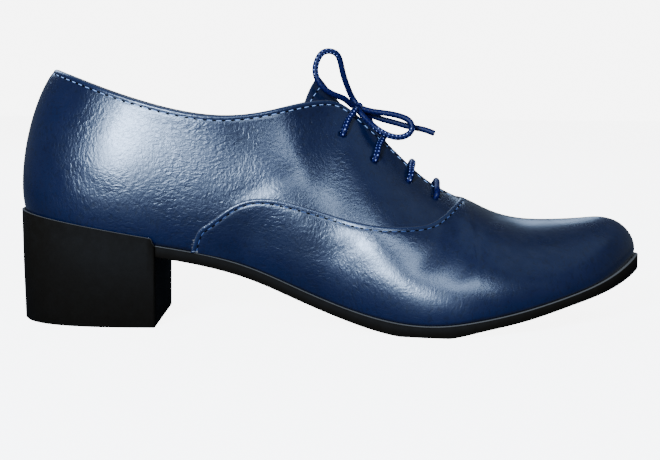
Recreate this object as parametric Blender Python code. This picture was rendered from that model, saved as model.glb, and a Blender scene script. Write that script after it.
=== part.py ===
"""Heeled oxford shoe, right foot, standing empty on its heel and ball.

Metres, +Z up, +X to the toe, +Y to the medial side. The origin is on the floor
under the middle of the shoe. Every form is read from one last: a foot line where
the upper meets the sole, a top line along collar, facings and vamp ridge, and
one curved section between the two at each place around the shoe.
"""
from collections import namedtuple
from math import radians

import bmesh
import bpy
import numpy as np
from mathutils import Matrix, Vector

# Driving dimensions
LENGTH = 0.2580
BALL_WIDTH = 0.088
SEAT_HEIGHT = 0.0428
INSTEP_HEIGHT = 0.0903
AXIS_Y = 0.0029
WALL = 0.0020
CLEAR = 0.0003
VAMP_STEP = 0.0010
VAMP_FADE = 0.018
STEP_RUN = 0.0016
SOLE_THICK = 0.0044
SOLE_LEDGE = 0.0016
SOLE_BEVEL = 0.0006
INSOLE_THICK = 0.0020
TONGUE_THICK = 0.0018
TONGUE_RISE = 0.0205
TONGUE_LEAN = (-0.62, 0.0, 0.78)
HEEL_LEDGE = 0.0026
RIM_INNER = 0.0012
RIM_RISE = 0.0016
HEEL_TAPER = 0.0009
HEEL_BEVEL = 0.0006
BREAST_ALONG = 0.2257
EYELET_WIDTH = 0.0034
LACE_WIDTH = 0.0023
LACE_LIFT = 0.0005

HEEL_BACK = -LENGTH / 2

# Fineness of the faceted forms
PER_SECTION = 2
VAMP_ROWS = 9
QUARTER_ROWS = 11
EYELET_SIDES = 10
TONGUE_ROWS = 20
TONGUE_HALF = 6
BAR_POINTS = 18
BOW_POINTS = 22

# Sections of the last, from the back of the heel to the toe.
# along, lateral, medial: foot line, as shares of LENGTH and BALL_WIDTH
# top_along, opening, top_height, dip, swing: top line, as shares of LENGTH, BALL_WIDTH,
# INSTEP_HEIGHT, INSTEP_HEIGHT (medial side lower) and BALL_WIDTH (ridge towards medial)
# low_out, top_out: bulge of the section at its two ends, as shares of BALL_WIDTH
# low_up, top_down: reach of that bulge, as shares of the section's height
Section = namedtuple("Section", "along lateral medial top_along opening top_height dip swing "
                                "low_out low_up top_out top_down")
SECTIONS = (
    Section(0.010, 0.000, 0.000, 0.056, 0.000, 1.141, 0.000, 0.000, 0.070, 0.20, 0.125, 0.20),
    Section(0.019, 0.119, 0.119, 0.062, 0.060, 1.135, 0.004, 0.000, 0.070, 0.21, 0.110, 0.21),
    Section(0.046, 0.216, 0.216, 0.081, 0.128, 1.118, 0.013, 0.000, 0.068, 0.23, 0.085, 0.24),
    Section(0.093, 0.282, 0.282, 0.116, 0.206, 1.084, 0.023, 0.000, 0.064, 0.26, 0.055, 0.28),
    Section(0.155, 0.310, 0.307, 0.169, 0.260, 1.031, 0.024, 0.000, 0.062, 0.28, 0.030, 0.30),
    Section(0.233, 0.310, 0.299, 0.239, 0.286, 0.974, 0.020, 0.000, 0.064, 0.30, 0.016, 0.32),
    Section(0.318, 0.305, 0.261, 0.313, 0.291, 0.942, 0.012, 0.000, 0.070, 0.32, 0.016, 0.32),
    Section(0.405, 0.320, 0.234, 0.383, 0.262, 0.955, 0.005, 0.000, 0.078, 0.33, 0.040, 0.30),
    Section(0.475, 0.359, 0.245, 0.445, 0.192, 0.994, 0.001, 0.000, 0.080, 0.33, 0.080, 0.26),
    Section(0.522, 0.398, 0.270, 0.498, 0.082, 1.009, 0.000, 0.000, 0.076, 0.33, 0.110, 0.20),
    Section(0.569, 0.441, 0.311, 0.530, 0.055, 0.966, 0.000, 0.000, 0.068, 0.33, 0.130, 0.17),
    Section(0.631, 0.491, 0.375, 0.605, 0.038, 0.771, 0.000, 0.000, 0.056, 0.33, 0.190, 0.16),
    Section(0.685, 0.514, 0.423, 0.665, 0.024, 0.626, 0.000, 0.000, 0.046, 0.34, 0.240, 0.11),
    Section(0.725, 0.509, 0.443, 0.705, 0.000, 0.568, 0.000, 0.000, 0.040, 0.36, 0.265, 0.03),
    Section(0.764, 0.486, 0.448, 0.742, 0.000, 0.520, 0.000, 0.004, 0.036, 0.38, 0.265, 0.00),
    Section(0.819, 0.427, 0.432, 0.793, 0.000, 0.474, 0.000, 0.014, 0.032, 0.38, 0.245, 0.00),
    Section(0.877, 0.343, 0.382, 0.851, 0.000, 0.466, 0.000, 0.030, 0.030, 0.36, 0.215, 0.00),
    Section(0.928, 0.239, 0.311, 0.898, 0.000, 0.472, 0.000, 0.044, 0.029, 0.33, 0.187, 0.00),
    Section(0.965, 0.119, 0.227, 0.923, 0.000, 0.478, 0.000, 0.054, 0.029, 0.29, 0.163, 0.00),
    Section(0.989, 0.006, 0.145, 0.933, 0.000, 0.478, 0.000, 0.062, 0.029, 0.26, 0.153, 0.00),
    Section(0.996, -0.066, 0.066, 0.936, 0.000, 0.478, 0.000, 0.066, 0.029, 0.25, 0.151, 0.00),
)
THROAT = 13

# Outsole along the shoe: share of LENGTH, top face as share of SEAT_HEIGHT, share of SOLE_THICK
SOLE_LINE = (
    (0.000, 0.998, 1.00), (0.110, 0.888, 1.00), (0.222, 0.775, 1.00), (0.298, 0.696, 1.04),
    (0.375, 0.570, 1.05), (0.453, 0.380, 1.05), (0.530, 0.213, 1.07), (0.603, 0.117, 1.14),
    (0.643, 0.103, 1.14), (0.681, 0.117, 1.12), (0.719, 0.151, 0.95), (0.797, 0.242, 0.90),
    (0.877, 0.363, 0.88), (0.923, 0.447, 1.02), (0.970, 0.560, 1.27), (1.000, 0.645, 1.48),
)

# Upper edge of the vamp where it laps the quarters: share of LENGTH, share of INSTEP_HEIGHT
VAMP_EDGE = (
    (0.282, 0.334), (0.289, 0.404), (0.304, 0.460), (0.346, 0.547), (0.393, 0.582),
    (0.443, 0.558), (0.502, 0.508), (0.560, 0.470), (0.618, 0.460), (0.659, 0.479),
    (0.692, 0.541), (0.705, 0.568),
)

# Eyelets from the top down: hole along and height, and where its bar leaves the facing
Eyelet = namedtuple("Eyelet", "along height edge_along")
EYELETS = (
    Eyelet(0.516, 0.860, 0.534),
    Eyelet(0.566, 0.746, 0.580),
    Eyelet(0.621, 0.654, 0.629),
    Eyelet(0.664, 0.579, 0.669),
)

# How far along its way from the hole to the facing's edge a bar passes
BAR_SHARES = (0.16, 0.50, 0.92)

# Tongue from under the vamp to its tip: along the facing line, share of TONGUE_RISE above it,
# then half width, drop of its sides and sag of its corners as shares of BALL_WIDTH
Leaf = namedtuple("Leaf", "along rise half_width drop sag")
LEAVES = (
    Leaf(0.757, 0.00, 0.100, 0.020, 0.000),
    Leaf(0.715, 0.00, 0.140, 0.054, 0.000),
    Leaf(0.670, 0.00, 0.165, 0.095, 0.000),
    Leaf(0.625, 0.00, 0.175, 0.135, 0.000),
    Leaf(0.580, 0.00, 0.180, 0.165, 0.000),
    Leaf(0.537, 0.00, 0.175, 0.175, 0.000),
    Leaf(0.537, 0.35, 0.160, 0.170, 0.010),
    Leaf(0.537, 0.70, 0.145, 0.155, 0.035),
    Leaf(0.537, 1.00, 0.125, 0.130, 0.065),
)
TONGUE_DEPTH = 0.0027
TONGUE_ROUND = 0.35
TONGUE_MEDIAL = 0.86

# Routes of the bow: share of LENGTH, sideways from the axis, height
KNOT = (0.5470, 0.000, 0.0902)
KNOT_SIZE = (0.0042, 0.0068, 0.0024)
BOW_ROUTES = {
    "lace_loop_up": (
        (0.5332, -0.0019, 0.0896), (0.5205, -0.0046, 0.0914), (0.5002, -0.0068, 0.0936),
        (0.4834, -0.0078, 0.0965), (0.4744, -0.0078, 0.0999), (0.4714, -0.0074, 0.1035),
        (0.4748, -0.0068, 0.1075), (0.4829, -0.0062, 0.1104), (0.4940, -0.0056, 0.1111),
        (0.5052, -0.0050, 0.1099), (0.5114, -0.0042, 0.1065), (0.5156, -0.0032, 0.1020),
        (0.5226, -0.0016, 0.0968), (0.5372, 0.0009, 0.0916),
    ),
    "lace_loop_front": (
        (0.5540, -0.0012, 0.0890), (0.5680, -0.0030, 0.0870), (0.5902, -0.0050, 0.0858),
        (0.6100, -0.0070, 0.0846), (0.6232, -0.0084, 0.0824), (0.6250, -0.0090, 0.0794),
        (0.6154, -0.0096, 0.0770), (0.6009, -0.0100, 0.0764), (0.5842, -0.0100, 0.0776),
        (0.5686, -0.0088, 0.0805), (0.5542, -0.0062, 0.0844), (0.5466, -0.0043, 0.0875),
    ),
    "lace_end_lateral": (
        (0.5532, 0.0020, 0.0882), (0.5777, 0.0018, 0.0837), (0.6027, 0.0010, 0.0818),
        (0.6252, 0.0000, 0.0803), (0.6476, -0.0014, 0.0792), (0.6628, -0.0025, 0.0778),
    ),
    "lace_end_medial": (
        (0.5465, 0.0043, 0.0897), (0.5545, 0.0086, 0.0872), (0.5620, 0.0130, 0.0820),
        (0.5740, 0.0164, 0.0768), (0.5880, 0.0190, 0.0718), (0.6030, 0.0212, 0.0672),
        (0.6160, 0.0230, 0.0634),
    ),
}

# Colours of the leather, thread and rubber, with roughness
NAVY_LEATHER = ((0.018, 0.033, 0.085), 0.38)
BLACK_RUBBER = ((0.012, 0.011, 0.011), 0.55)
TAN_LEATHER = ((0.46, 0.34, 0.22), 0.60)
NAVY_CORD = ((0.010, 0.016, 0.090), 0.75)


def clear_scene():
    for item in list(bpy.data.objects):
        bpy.data.objects.remove(item, do_unlink=True)


def material(name, finish):
    made = bpy.data.materials.new(name)
    made.use_nodes = True
    shader = made.node_tree.nodes["Principled BSDF"]
    colour, roughness = finish
    shader.inputs["Base Color"].default_value = (*colour, 1.0)
    shader.inputs["Roughness"].default_value = roughness
    shader.inputs["Metallic"].default_value = 0.0
    return made


class Spline:
    """Cubic spline with smooth curvature, through rows of values at knots."""

    def __init__(self, knots, values, closed=False):
        self.knots = np.asarray(knots, float)
        self.values = np.asarray(values, float).reshape(len(values), -1)
        steps = np.diff(self.knots)
        slopes = np.diff(self.values, axis=0) / steps[:, None]
        count = len(self.knots)
        system = np.eye(count)
        sides = np.zeros_like(self.values)
        for i in range(1, count - 1):
            system[i, i - 1:i + 2] = steps[i - 1], 2 * (steps[i - 1] + steps[i]), steps[i]
            sides[i] = 6 * (slopes[i] - slopes[i - 1])
        if closed:
            system[0, 0] = 2 * (steps[-1] + steps[0])
            system[0, 1] = steps[0]
            system[0, count - 2] = steps[-1]
            sides[0] = 6 * (slopes[0] - slopes[-1])
            system[-1, 0] = -1
        self.bends = np.linalg.solve(system, sides)

    def __call__(self, place):
        i = int(np.clip(np.searchsorted(self.knots, place) - 1, 0, len(self.knots) - 2))
        step = self.knots[i + 1] - self.knots[i]
        a = (self.knots[i + 1] - place) / step
        b = 1 - a
        bend = ((a ** 3 - a) * self.bends[i] + (b ** 3 - b) * self.bends[i + 1]) * step ** 2 / 6
        return a * self.values[i] + b * self.values[i + 1] + bend


SOLE_SPLINE = Spline([along * LENGTH for along, height, thick in SOLE_LINE],
                     [(height * SEAT_HEIGHT, thick * SOLE_THICK) for along, height, thick in SOLE_LINE])
VAMP_SPLINE = Spline([along * LENGTH for along, height in VAMP_EDGE],
                     [height * INSTEP_HEIGHT for along, height in VAMP_EDGE])


def sole_top(x):
    return SOLE_SPLINE(x - HEEL_BACK)[0]


def sole_bottom(x):
    top, thick = SOLE_SPLINE(x - HEEL_BACK)
    return max(0.0, top - thick)


def vamp_edge_height(x):
    return VAMP_SPLINE(x - HEEL_BACK)[0]


def section_values(row, side):
    """One row in metres: foot x and y, top x, z and swing, then the four handles."""
    width, dip = (row.lateral, 0.0) if side < 0 else (row.medial, row.dip)
    foot_x = HEEL_BACK + row.along * LENGTH
    top_z = (row.top_height - dip) * INSTEP_HEIGHT
    rise = top_z - sole_top(foot_x)
    return (foot_x, side * width * BALL_WIDTH,
            HEEL_BACK + row.top_along * LENGTH, top_z, row.swing * BALL_WIDTH,
            row.low_out * BALL_WIDTH, row.low_up * rise,
            row.top_out * BALL_WIDTH, row.top_down * rise)


def section_knots():
    """Distance along the shoe at each section, the mean of foot and top, both sides."""
    total = np.zeros(len(SECTIONS))
    for side in (-1, 1):
        rows = np.array([section_values(row, side) for row in SECTIONS])
        opening = np.array([row.opening * BALL_WIDTH for row in SECTIONS])
        foot = np.diff(rows[:, :2], axis=0)
        top = np.diff(np.column_stack((rows[:, 2], rows[:, 3], opening)), axis=0)
        lengths = (np.linalg.norm(foot, axis=1) + np.linalg.norm(top, axis=1)) / 2
        total[1:] += np.cumsum(lengths) / 2
    return total


KNOTS = section_knots()
TOE = KNOTS[-1]
THROAT_AT = KNOTS[THROAT]


def last_spline():
    """One closed spline: up the lateral side to the toe and back down the medial side."""
    lateral = [section_values(row, -1) for row in SECTIONS]
    medial = [section_values(row, 1) for row in SECTIONS]
    knots = list(KNOTS) + [2 * TOE - knot for knot in reversed(KNOTS[:-1])]
    return Spline(knots, lateral + medial[-2::-1], closed=True)


LAST = last_spline()
OPENING = Spline(KNOTS[:THROAT + 1], [row.opening * BALL_WIDTH for row in SECTIONS[:THROAT + 1]])


def values_at(side, u):
    return LAST(u if side < 0 else 2 * TOE - u)


def outward(side, u):
    """Plan direction square to the foot line, away from the shoe."""
    place = u if side < 0 else 2 * TOE - u
    step = 1e-5
    ahead = LAST((place + step) % (2 * TOE))[:2]
    behind = LAST((place - step) % (2 * TOE))[:2]
    x, y = ahead - behind
    return np.array((y, -x, 0.0)) / np.hypot(x, y)


def foot_point(side, u):
    x, y = values_at(side, u)[:2]
    return np.array((x, y + AXIS_Y, sole_top(x) + CLEAR))


def top_point(side, u):
    values = values_at(side, u)
    opening = OPENING(u)[0] if u < THROAT_AT else 0.0
    return np.array((values[2], values[4] + side * opening + AXIS_Y, values[3]))


def ridge_slope(u):
    """Rise of the vamp ridge along the shoe, level at its two ends."""
    if u <= THROAT_AT or u >= KNOTS[-3]:
        return 0.0
    ahead = values_at(-1, u + 1e-4)
    behind = values_at(-1, u - 1e-4)
    return (ahead[3] - behind[3]) / (ahead[2] - behind[2])


def last_point(side, u, t):
    """A point on the last: u around the shoe, t up its section from foot to top."""
    values = values_at(side, u)
    low_out, low_up, top_out, top_down = values[5:]
    away = outward(side, u)
    up = np.array((0.0, 0.0, 1.0))
    foot = foot_point(side, u)
    top = top_point(side, u)
    low = foot + away * low_out + up * low_up
    high = top + away * top_out + up * (top_out * away[0] * ridge_slope(u) - top_down)
    s = 1 - t
    return s ** 3 * foot + 3 * s * s * t * low + 3 * s * t * t * high + t ** 3 * top


def one_side_normal(side, u, t):
    step_u, step_t = 2e-4, 2e-3
    low_u, high_u = max(u - step_u, 0.0), min(u + step_u, TOE)
    low_t, high_t = max(t - step_t, 0.0), min(t + step_t, 1.0)
    if t > 0.98 and u > KNOTS[-3]:
        low_t, high_t = 0.95, 0.97
        t = 0.96
    along = last_point(side, high_u, t) - last_point(side, low_u, t)
    rise = last_point(side, u, high_t) - last_point(side, u, low_t)
    normal = np.cross(along, rise) * -side
    return normal / np.linalg.norm(normal)


def last_normal(side, u, t):
    """Outward normal of the last, level at the foot and shared where the two sides meet."""
    if t < 1e-6:
        return outward(side, u)
    normal = one_side_normal(side, u, t)
    on_ridge = t > 0.999 and u > THROAT_AT - 1e-6
    if on_ridge or u < 1e-6 or u > TOE - 1e-6:
        normal = normal + one_side_normal(-side, u, t)
        if u < 1e-6:
            normal[1] = 0.0
    return normal / np.linalg.norm(normal)


def find_root(function, low, high):
    """Where a rising function crosses zero."""
    for _ in range(40):
        middle = (low + high) / 2
        if function(middle) < 0:
            low = middle
        else:
            high = middle
    return (low + high) / 2


VAMP_START = find_root(lambda u: values_at(-1, u)[0] - HEEL_BACK - VAMP_EDGE[0][0] * LENGTH,
                       KNOTS[4], KNOTS[8])


def edge_share(side, u):
    """How far up its section the vamp's edge lies: 0 at the sole, 1 from the throat on."""
    if u <= VAMP_START + 1e-9:
        return 0.0
    if u >= THROAT_AT - 1e-9:
        return 1.0

    def above(t):
        point = last_point(side, u, t)
        return point[2] - vamp_edge_height(point[0])
    return find_root(above, 0.0, 1.0)


def columns(start, end, per_section):
    """Places around the shoe: the sections and even steps between them."""
    marks = {round(start, 9), round(end, 9)}
    for low, high in zip(KNOTS[:-1], KNOTS[1:]):
        for i in range(per_section + 1):
            place = low + (high - low) * i / per_section
            if start + 0.0015 < place < end - 0.0015:
                marks.add(round(place, 9))
    return sorted(marks)


class TwoSkins:
    """A wall between two skins: each outer point has an inner mate."""

    def __init__(self):
        self.index = {}
        self.outer = []
        self.inner = []
        self.faces = []

    def point(self, outer, inner):
        key = tuple(np.round(outer, 6) + 0.0)
        if key not in self.index:
            self.index[key] = len(self.outer)
            self.outer.append(outer)
            self.inner.append(inner)
        return self.index[key]

    def face(self, *corners):
        ring = [c for i, c in enumerate(corners) if c != corners[i - 1]]
        if len(ring) > 2:
            self.faces.append(ring)

    def grid(self, rows):
        for low, high in zip(rows[:-1], rows[1:]):
            for i in range(len(low) - 1):
                self.face(low[i], low[i + 1], high[i + 1], high[i])

    def solid(self, name, made_of):
        """Both skins and the rim around every free edge, as one closed body."""
        mates = {}
        mate_of = []
        for i, inner in enumerate(self.inner):
            key = tuple(np.round(inner, 6) + 0.0)
            mate_of.append(mates.setdefault(key, len(self.outer) + i))
        points = self.outer + self.inner
        faces = list(self.faces)
        edges = {}
        for ring in self.faces:
            back = [mate_of[c] for c in reversed(ring)]
            back = [c for i, c in enumerate(back) if c != back[i - 1]]
            if len(back) > 2:
                faces.append(back)
            for i, corner in enumerate(ring):
                edges[(ring[i - 1], corner)] = True
        for a, b in edges:
            if (b, a) not in edges:
                rim = [b, a, mate_of[a], mate_of[b]]
                rim = [c for i, c in enumerate(rim) if c != rim[i - 1]]
                if len(rim) > 2:
                    faces.append(rim)
        return solid_object(name, points, faces, made_of)


def solid_object(name, points, faces, made_of):
    mesh = bpy.data.meshes.new(name)
    form = bmesh.new()
    corners = [form.verts.new(Vector(p)) for p in points]
    for ring in faces:
        form.faces.new([corners[i] for i in ring])
    loose = [v for v in form.verts if not v.link_faces]
    bmesh.ops.delete(form, geom=loose, context="VERTS")
    bmesh.ops.recalc_face_normals(form, faces=form.faces[:])
    form.to_mesh(mesh)
    form.free()
    mesh.shade_smooth()
    mesh.set_sharp_from_angle(angle=radians(35))
    mesh.materials.append(made_of)
    made = bpy.data.objects.new(name, mesh)
    bpy.context.scene.collection.objects.link(made)
    return made


def vamp_lift(point, edge_points):
    """The vamp stands proud of the quarters at its edge and sinks to the last beyond it."""
    distances = np.linalg.norm(edge_points - point, axis=1)
    share = max(0.0, 1.0 - np.min(distances) / VAMP_FADE)
    start = min(1.0, distances[0] / STEP_RUN)
    return VAMP_STEP * start * share * share * (3 - 2 * share)


def upper_patch(wall, side, places, rows, low_share, high_share, lift):
    """A grid of wall between two shares of the section, as rows of point numbers."""
    grid = []
    for j in range(rows + 1):
        line = []
        for u in places:
            low, high = low_share(side, u), high_share(side, u)
            t = low + (high - low) * j / rows
            point = last_point(side, u, t)
            normal = last_normal(side, u, t)
            line.append(wall.point(point + normal * lift(point), point - normal * WALL))
        grid.append(line if side < 0 else line[::-1])
    wall.grid(grid)
    return grid


def build_upper(leather):
    """Vamp and quarters in one hollow wall, open at collar, facings and underneath."""
    wall = TwoSkins()
    vamp_places = [VAMP_START] + columns(VAMP_START + STEP_RUN, TOE, PER_SECTION)
    shared = [u for u in vamp_places if u < THROAT_AT + 1e-6]
    quarter_places = columns(0.0, VAMP_START, PER_SECTION) + shared[1:]
    for side in (-1, 1):
        edge = np.array([last_point(side, u, edge_share(side, u)) for u in shared])
        vamp = upper_patch(wall, side, vamp_places, VAMP_ROWS, lambda s, u: 0.0, edge_share,
                           lambda p: vamp_lift(p, edge))
        quarter = upper_patch(wall, side, quarter_places, QUARTER_ROWS, edge_share,
                              lambda s, u: 1.0, lambda p: 0.0)
        top_of_vamp = vamp[-1] if side < 0 else vamp[-1][::-1]
        foot_of_quarter = quarter[0] if side < 0 else quarter[0][::-1]
        step = [top_of_vamp[:len(shared)], foot_of_quarter[-len(shared):]]
        wall.grid(step if side < 0 else [line[::-1] for line in step])
    upper = wall.solid("upper", leather)
    punch_eyelets(upper)
    return upper


def locate(side, x, z):
    """Place on the last of a point seen from the side, by closing in on it."""
    u, t = THROAT_AT * 0.85, 0.8
    for _ in range(30):
        here = last_point(side, u, t)
        miss = np.array((x - here[0], z - here[2]))
        by_u = (last_point(side, u + 1e-5, t) - here)[[0, 2]] / 1e-5
        by_t = (last_point(side, u, t + 1e-5) - here)[[0, 2]] / 1e-5
        change = np.linalg.solve(np.column_stack((by_u, by_t)), miss)
        u = float(np.clip(u + change[0], KNOTS[8], THROAT_AT))
        t = float(np.clip(t + change[1], 0.4, 0.99))
    return u, t


def eyelet_places(side):
    return [locate(side, HEEL_BACK + e.along * LENGTH, e.height * INSTEP_HEIGHT) for e in EYELETS]


def punch_eyelets(upper):
    """Eight round holes square through the facings."""
    mesh = bpy.data.meshes.new("eyelet_punch")
    form = bmesh.new()
    for side in (-1, 1):
        for u, t in eyelet_places(side):
            centre = last_point(side, u, t) - last_normal(side, u, t) * WALL / 2
            turn = Vector(last_normal(side, u, t)).to_track_quat("Z", "Y").to_matrix().to_4x4()
            bmesh.ops.create_cone(form, cap_ends=True, segments=EYELET_SIDES, radius1=EYELET_WIDTH / 2,
                                  radius2=EYELET_WIDTH / 2, depth=WALL * 3,
                                  matrix=Matrix.Translation(Vector(centre)) @ turn)
    form.to_mesh(mesh)
    form.free()
    punch = bpy.data.objects.new("eyelet_punch", mesh)
    bpy.context.scene.collection.objects.link(punch)
    punch.hide_render = True
    punch.display_type = "WIRE"
    cut = upper.modifiers.new("eyelets", "BOOLEAN")
    cut.operation = "DIFFERENCE"
    cut.solver = "EXACT"
    cut.object = punch


def outline_point(side, u, offset, height):
    """A point off the foot line, at a height that follows its place along the shoe."""
    point = foot_point(side, u) + outward(side, u) * offset
    point[2] = height(point[0])
    return point


def ring(places, offset, height):
    """Once around the shoe: up the lateral side to the toe and back down the medial."""
    lateral = [outline_point(-1, u, offset(u), height) for u in places]
    medial = [outline_point(1, u, offset(u), height) for u in places[1:-1]]
    return lateral + medial[::-1]


def loop_faces(rings):
    """Bands between closed rings, with strips across the first ring and the last."""
    count = len(rings[0])
    faces = []
    for k in range(len(rings) - 1):
        for i in range(count):
            a, b = k * count + i, k * count + (i + 1) % count
            faces.append((a, b, b + count, a + count))
    for base in (0, (len(rings) - 1) * count):
        faces.append((base, base + 1, base + count - 1))
        for i in range(1, count // 2):
            far = count - i
            strip = (i, i + 1, far - 1, far) if far > i + 2 else (i, i + 1, far)
            faces.append([base + corner for corner in strip])
    return faces


def build_outsole(rubber):
    """Outsole with arch and toe spring, flat under the ball, narrowed inside the heel rim."""
    narrow_end = place_at(BREAST_X + CLEAR)
    wide_start = place_at(BREAST_X + 2 * CLEAR)
    back = [u for u in columns(0.0, TOE, PER_SECTION) if u < narrow_end - 0.002]
    front = [u for u in columns(0.0, TOE, PER_SECTION) if u > wide_start + 0.002]
    places = back + [narrow_end, wide_start] + front

    def ledge(u):
        return RIM_INNER - CLEAR if u < wide_start else SOLE_LEDGE
    rings = [
        ring(places, ledge, sole_top),
        ring(places, ledge, lambda x: sole_bottom(x) + SOLE_BEVEL),
        ring(places, lambda u: ledge(u) - SOLE_BEVEL, sole_bottom),
    ]
    return solid_object("outsole", sum(rings, []), loop_faces(rings), rubber)


def place_at(x):
    return find_root(lambda u: values_at(-1, u)[0] - x, KNOTS[2], KNOTS[10])


BREAST_X = HEEL_BACK + BREAST_ALONG * LENGTH


def build_heel(rubber):
    """D-shaped block with a flat breast and a low rim around the heel of the sole."""
    last = place_at(BREAST_X)
    places = [u for u in columns(0.0, last, PER_SECTION) if u < last - 0.004] + [last]

    def half_ring(offset, height):
        lateral = [outline_point(-1, u, offset, height) for u in places]
        medial = [outline_point(1, u, offset, height) for u in places[1:]]
        line = lateral[::-1] + medial
        line[0][0] = line[-1][0] = BREAST_X
        return line

    rings = [
        half_ring(HEEL_LEDGE - HEEL_TAPER - HEEL_BEVEL, lambda x: 0.0),
        half_ring(HEEL_LEDGE - HEEL_TAPER, lambda x: HEEL_BEVEL),
        half_ring(HEEL_LEDGE - HEEL_TAPER / 3, lambda x: sole_bottom(x) * 0.6),
        half_ring(HEEL_LEDGE, lambda x: sole_top(x) + RIM_RISE),
        half_ring(RIM_INNER, lambda x: sole_top(x) + RIM_RISE),
        half_ring(RIM_INNER, lambda x: sole_bottom(x) - CLEAR),
    ]
    return solid_object("heel", sum(rings, []), heel_faces(rings), rubber)


def heel_faces(rings):
    """Bands between the open rings, strips across top and bottom, and the flat breast."""
    count = len(rings[0])
    faces = []
    for k in range(len(rings) - 1):
        for i in range(count - 1):
            a = k * count + i
            faces.append((a, a + 1, a + 1 + count, a + count))
    for base in (0, (len(rings) - 1) * count):
        for i in range(count // 2):
            far = count - 1 - i
            strip = (i, i + 1, far - 1, far) if far - 1 > i + 1 else (i, i + 1, far)
            faces.append([base + corner for corner in strip])
    bottom, edge, waist, rim, lip, floor = [
        (k * count, k * count + count - 1) for k in range(len(rings))]
    for low, high in ((bottom, edge), (edge, waist), (waist, floor)):
        faces.append((low[0], high[0], high[1], low[1]))
    for end in (0, 1):
        faces.append((waist[end], rim[end], lip[end], floor[end]))
    return faces


def build_insole(leather):
    """Thin footbed lying on the outsole inside the upper."""
    places = columns(0.0, TOE, PER_SECTION)
    inset = -(WALL + 2 * CLEAR)
    rings = [
        ring(places, lambda u: inset, lambda x: sole_top(x) + CLEAR + INSOLE_THICK),
        ring(places, lambda u: inset, lambda x: sole_top(x) + CLEAR),
    ]
    return solid_object("insole", sum(rings, []), loop_faces(rings), leather)


def facing_place(along):
    """Place around the shoe where the top line is this far along it, near the facings."""
    x = HEEL_BACK + along * LENGTH
    return find_root(lambda u: values_at(-1, u)[2] - x, KNOTS[8], KNOTS[16])


def leaf_frame(leaf):
    """Centre of the tongue at one row, with its directions up the tongue and out of it."""
    u = facing_place(leaf.along)
    ahead, behind = values_at(-1, u + 1e-4), values_at(-1, u - 1e-4)
    climb = np.array((behind[2] - ahead[2], 0.0, behind[3] - ahead[3]))
    climb /= np.linalg.norm(climb)
    out = np.array((climb[2], 0.0, -climb[0]))
    here = values_at(-1, u)
    centre = np.array((here[2], here[4] + AXIS_Y, here[3])) - out * TONGUE_DEPTH
    if leaf.rise > 0:
        climb = np.array(TONGUE_LEAN) / np.linalg.norm(TONGUE_LEAN)
        out = np.array((climb[2], 0.0, -climb[0]))
        centre = centre + climb * leaf.rise * TONGUE_RISE
    return np.concatenate((centre, climb, out, np.array(leaf[2:]) * BALL_WIDTH))


def build_tongue(leather):
    """Arched leaf under the facings, from below the vamp to its tip above the collar."""
    frames = np.array([leaf_frame(leaf) for leaf in LEAVES])
    steps = np.linalg.norm(np.diff(frames[:, :3], axis=0), axis=1)
    knots = np.concatenate(((0.0,), np.cumsum(steps)))
    smooth = Spline(knots, frames)
    form = bmesh.new()
    grid = []
    for j in range(TONGUE_ROWS + 1):
        values = smooth(knots[-1] * j / TONGUE_ROWS)
        centre, climb, out = values[:3], values[3:6], values[6:9]
        half_width, drop, sag = values[9:]
        line = []
        for k in range(-TONGUE_HALF, TONGUE_HALF + 1):
            share = k / TONGUE_HALF
            arch = np.hypot(share, TONGUE_ROUND) - TONGUE_ROUND
            arch /= np.hypot(1.0, TONGUE_ROUND) - TONGUE_ROUND
            point = centre - out * drop * arch - climb * sag * share ** 2
            point[1] += half_width * (share if share < 0 else share * TONGUE_MEDIAL)
            line.append(form.verts.new(Vector(point)))
        grid.append(line)
    for low, high in zip(grid[:-1], grid[1:]):
        for i in range(2 * TONGUE_HALF):
            form.faces.new((low[i], low[i + 1], high[i + 1], high[i]))
    mesh = bpy.data.meshes.new("tongue")
    form.to_mesh(mesh)
    form.free()
    mesh.shade_smooth()
    mesh.materials.append(leather)
    made = bpy.data.objects.new("tongue", mesh)
    bpy.context.scene.collection.objects.link(made)
    wall = made.modifiers.new("thickness", "SOLIDIFY")
    wall.thickness = TONGUE_THICK
    wall.offset = -1.0


def tube(name, route, width, made_of, points):
    """Round cord along a smooth curve through its route, with closed ends."""
    route = np.array(route)
    knots = np.concatenate(((0.0,), np.cumsum(np.linalg.norm(np.diff(route, axis=0), axis=1))))
    smooth = Spline(knots, route)
    curve = bpy.data.curves.new(name, "CURVE")
    curve.dimensions = "3D"
    line = curve.splines.new("POLY")
    line.points.add(points - 1)
    for i in range(points):
        line.points[i].co = (*smooth(knots[-1] * i / (points - 1)), 1.0)
    curve.bevel_depth = width / 2
    curve.bevel_resolution = 2
    curve.use_fill_caps = True
    curve.materials.append(made_of)
    made = bpy.data.objects.new(name, curve)
    bpy.context.scene.collection.objects.link(made)
    return made


def bar_route(number):
    """From inside one eyelet, over both facings and the gap, into the other eyelet."""
    lift = LACE_WIDTH / 2 + LACE_LIFT
    edge = facing_place(EYELETS[number].edge_along)
    halves = []
    for side in (-1, 1):
        u, t = eyelet_places(side)[number]
        hole = last_point(side, u, t)
        normal = last_normal(side, u, t)
        line = [hole - normal * WALL / 2, hole + normal * lift / 2]
        for share in BAR_SHARES:
            place_u = u + (edge - u) * share
            place_t = t + (1 - t) * share
            above = last_normal(side, place_u, place_t) * lift
            line.append(last_point(side, place_u, place_t) + above)
        halves.append(line)
    return halves[0] + halves[1][::-1]


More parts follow.
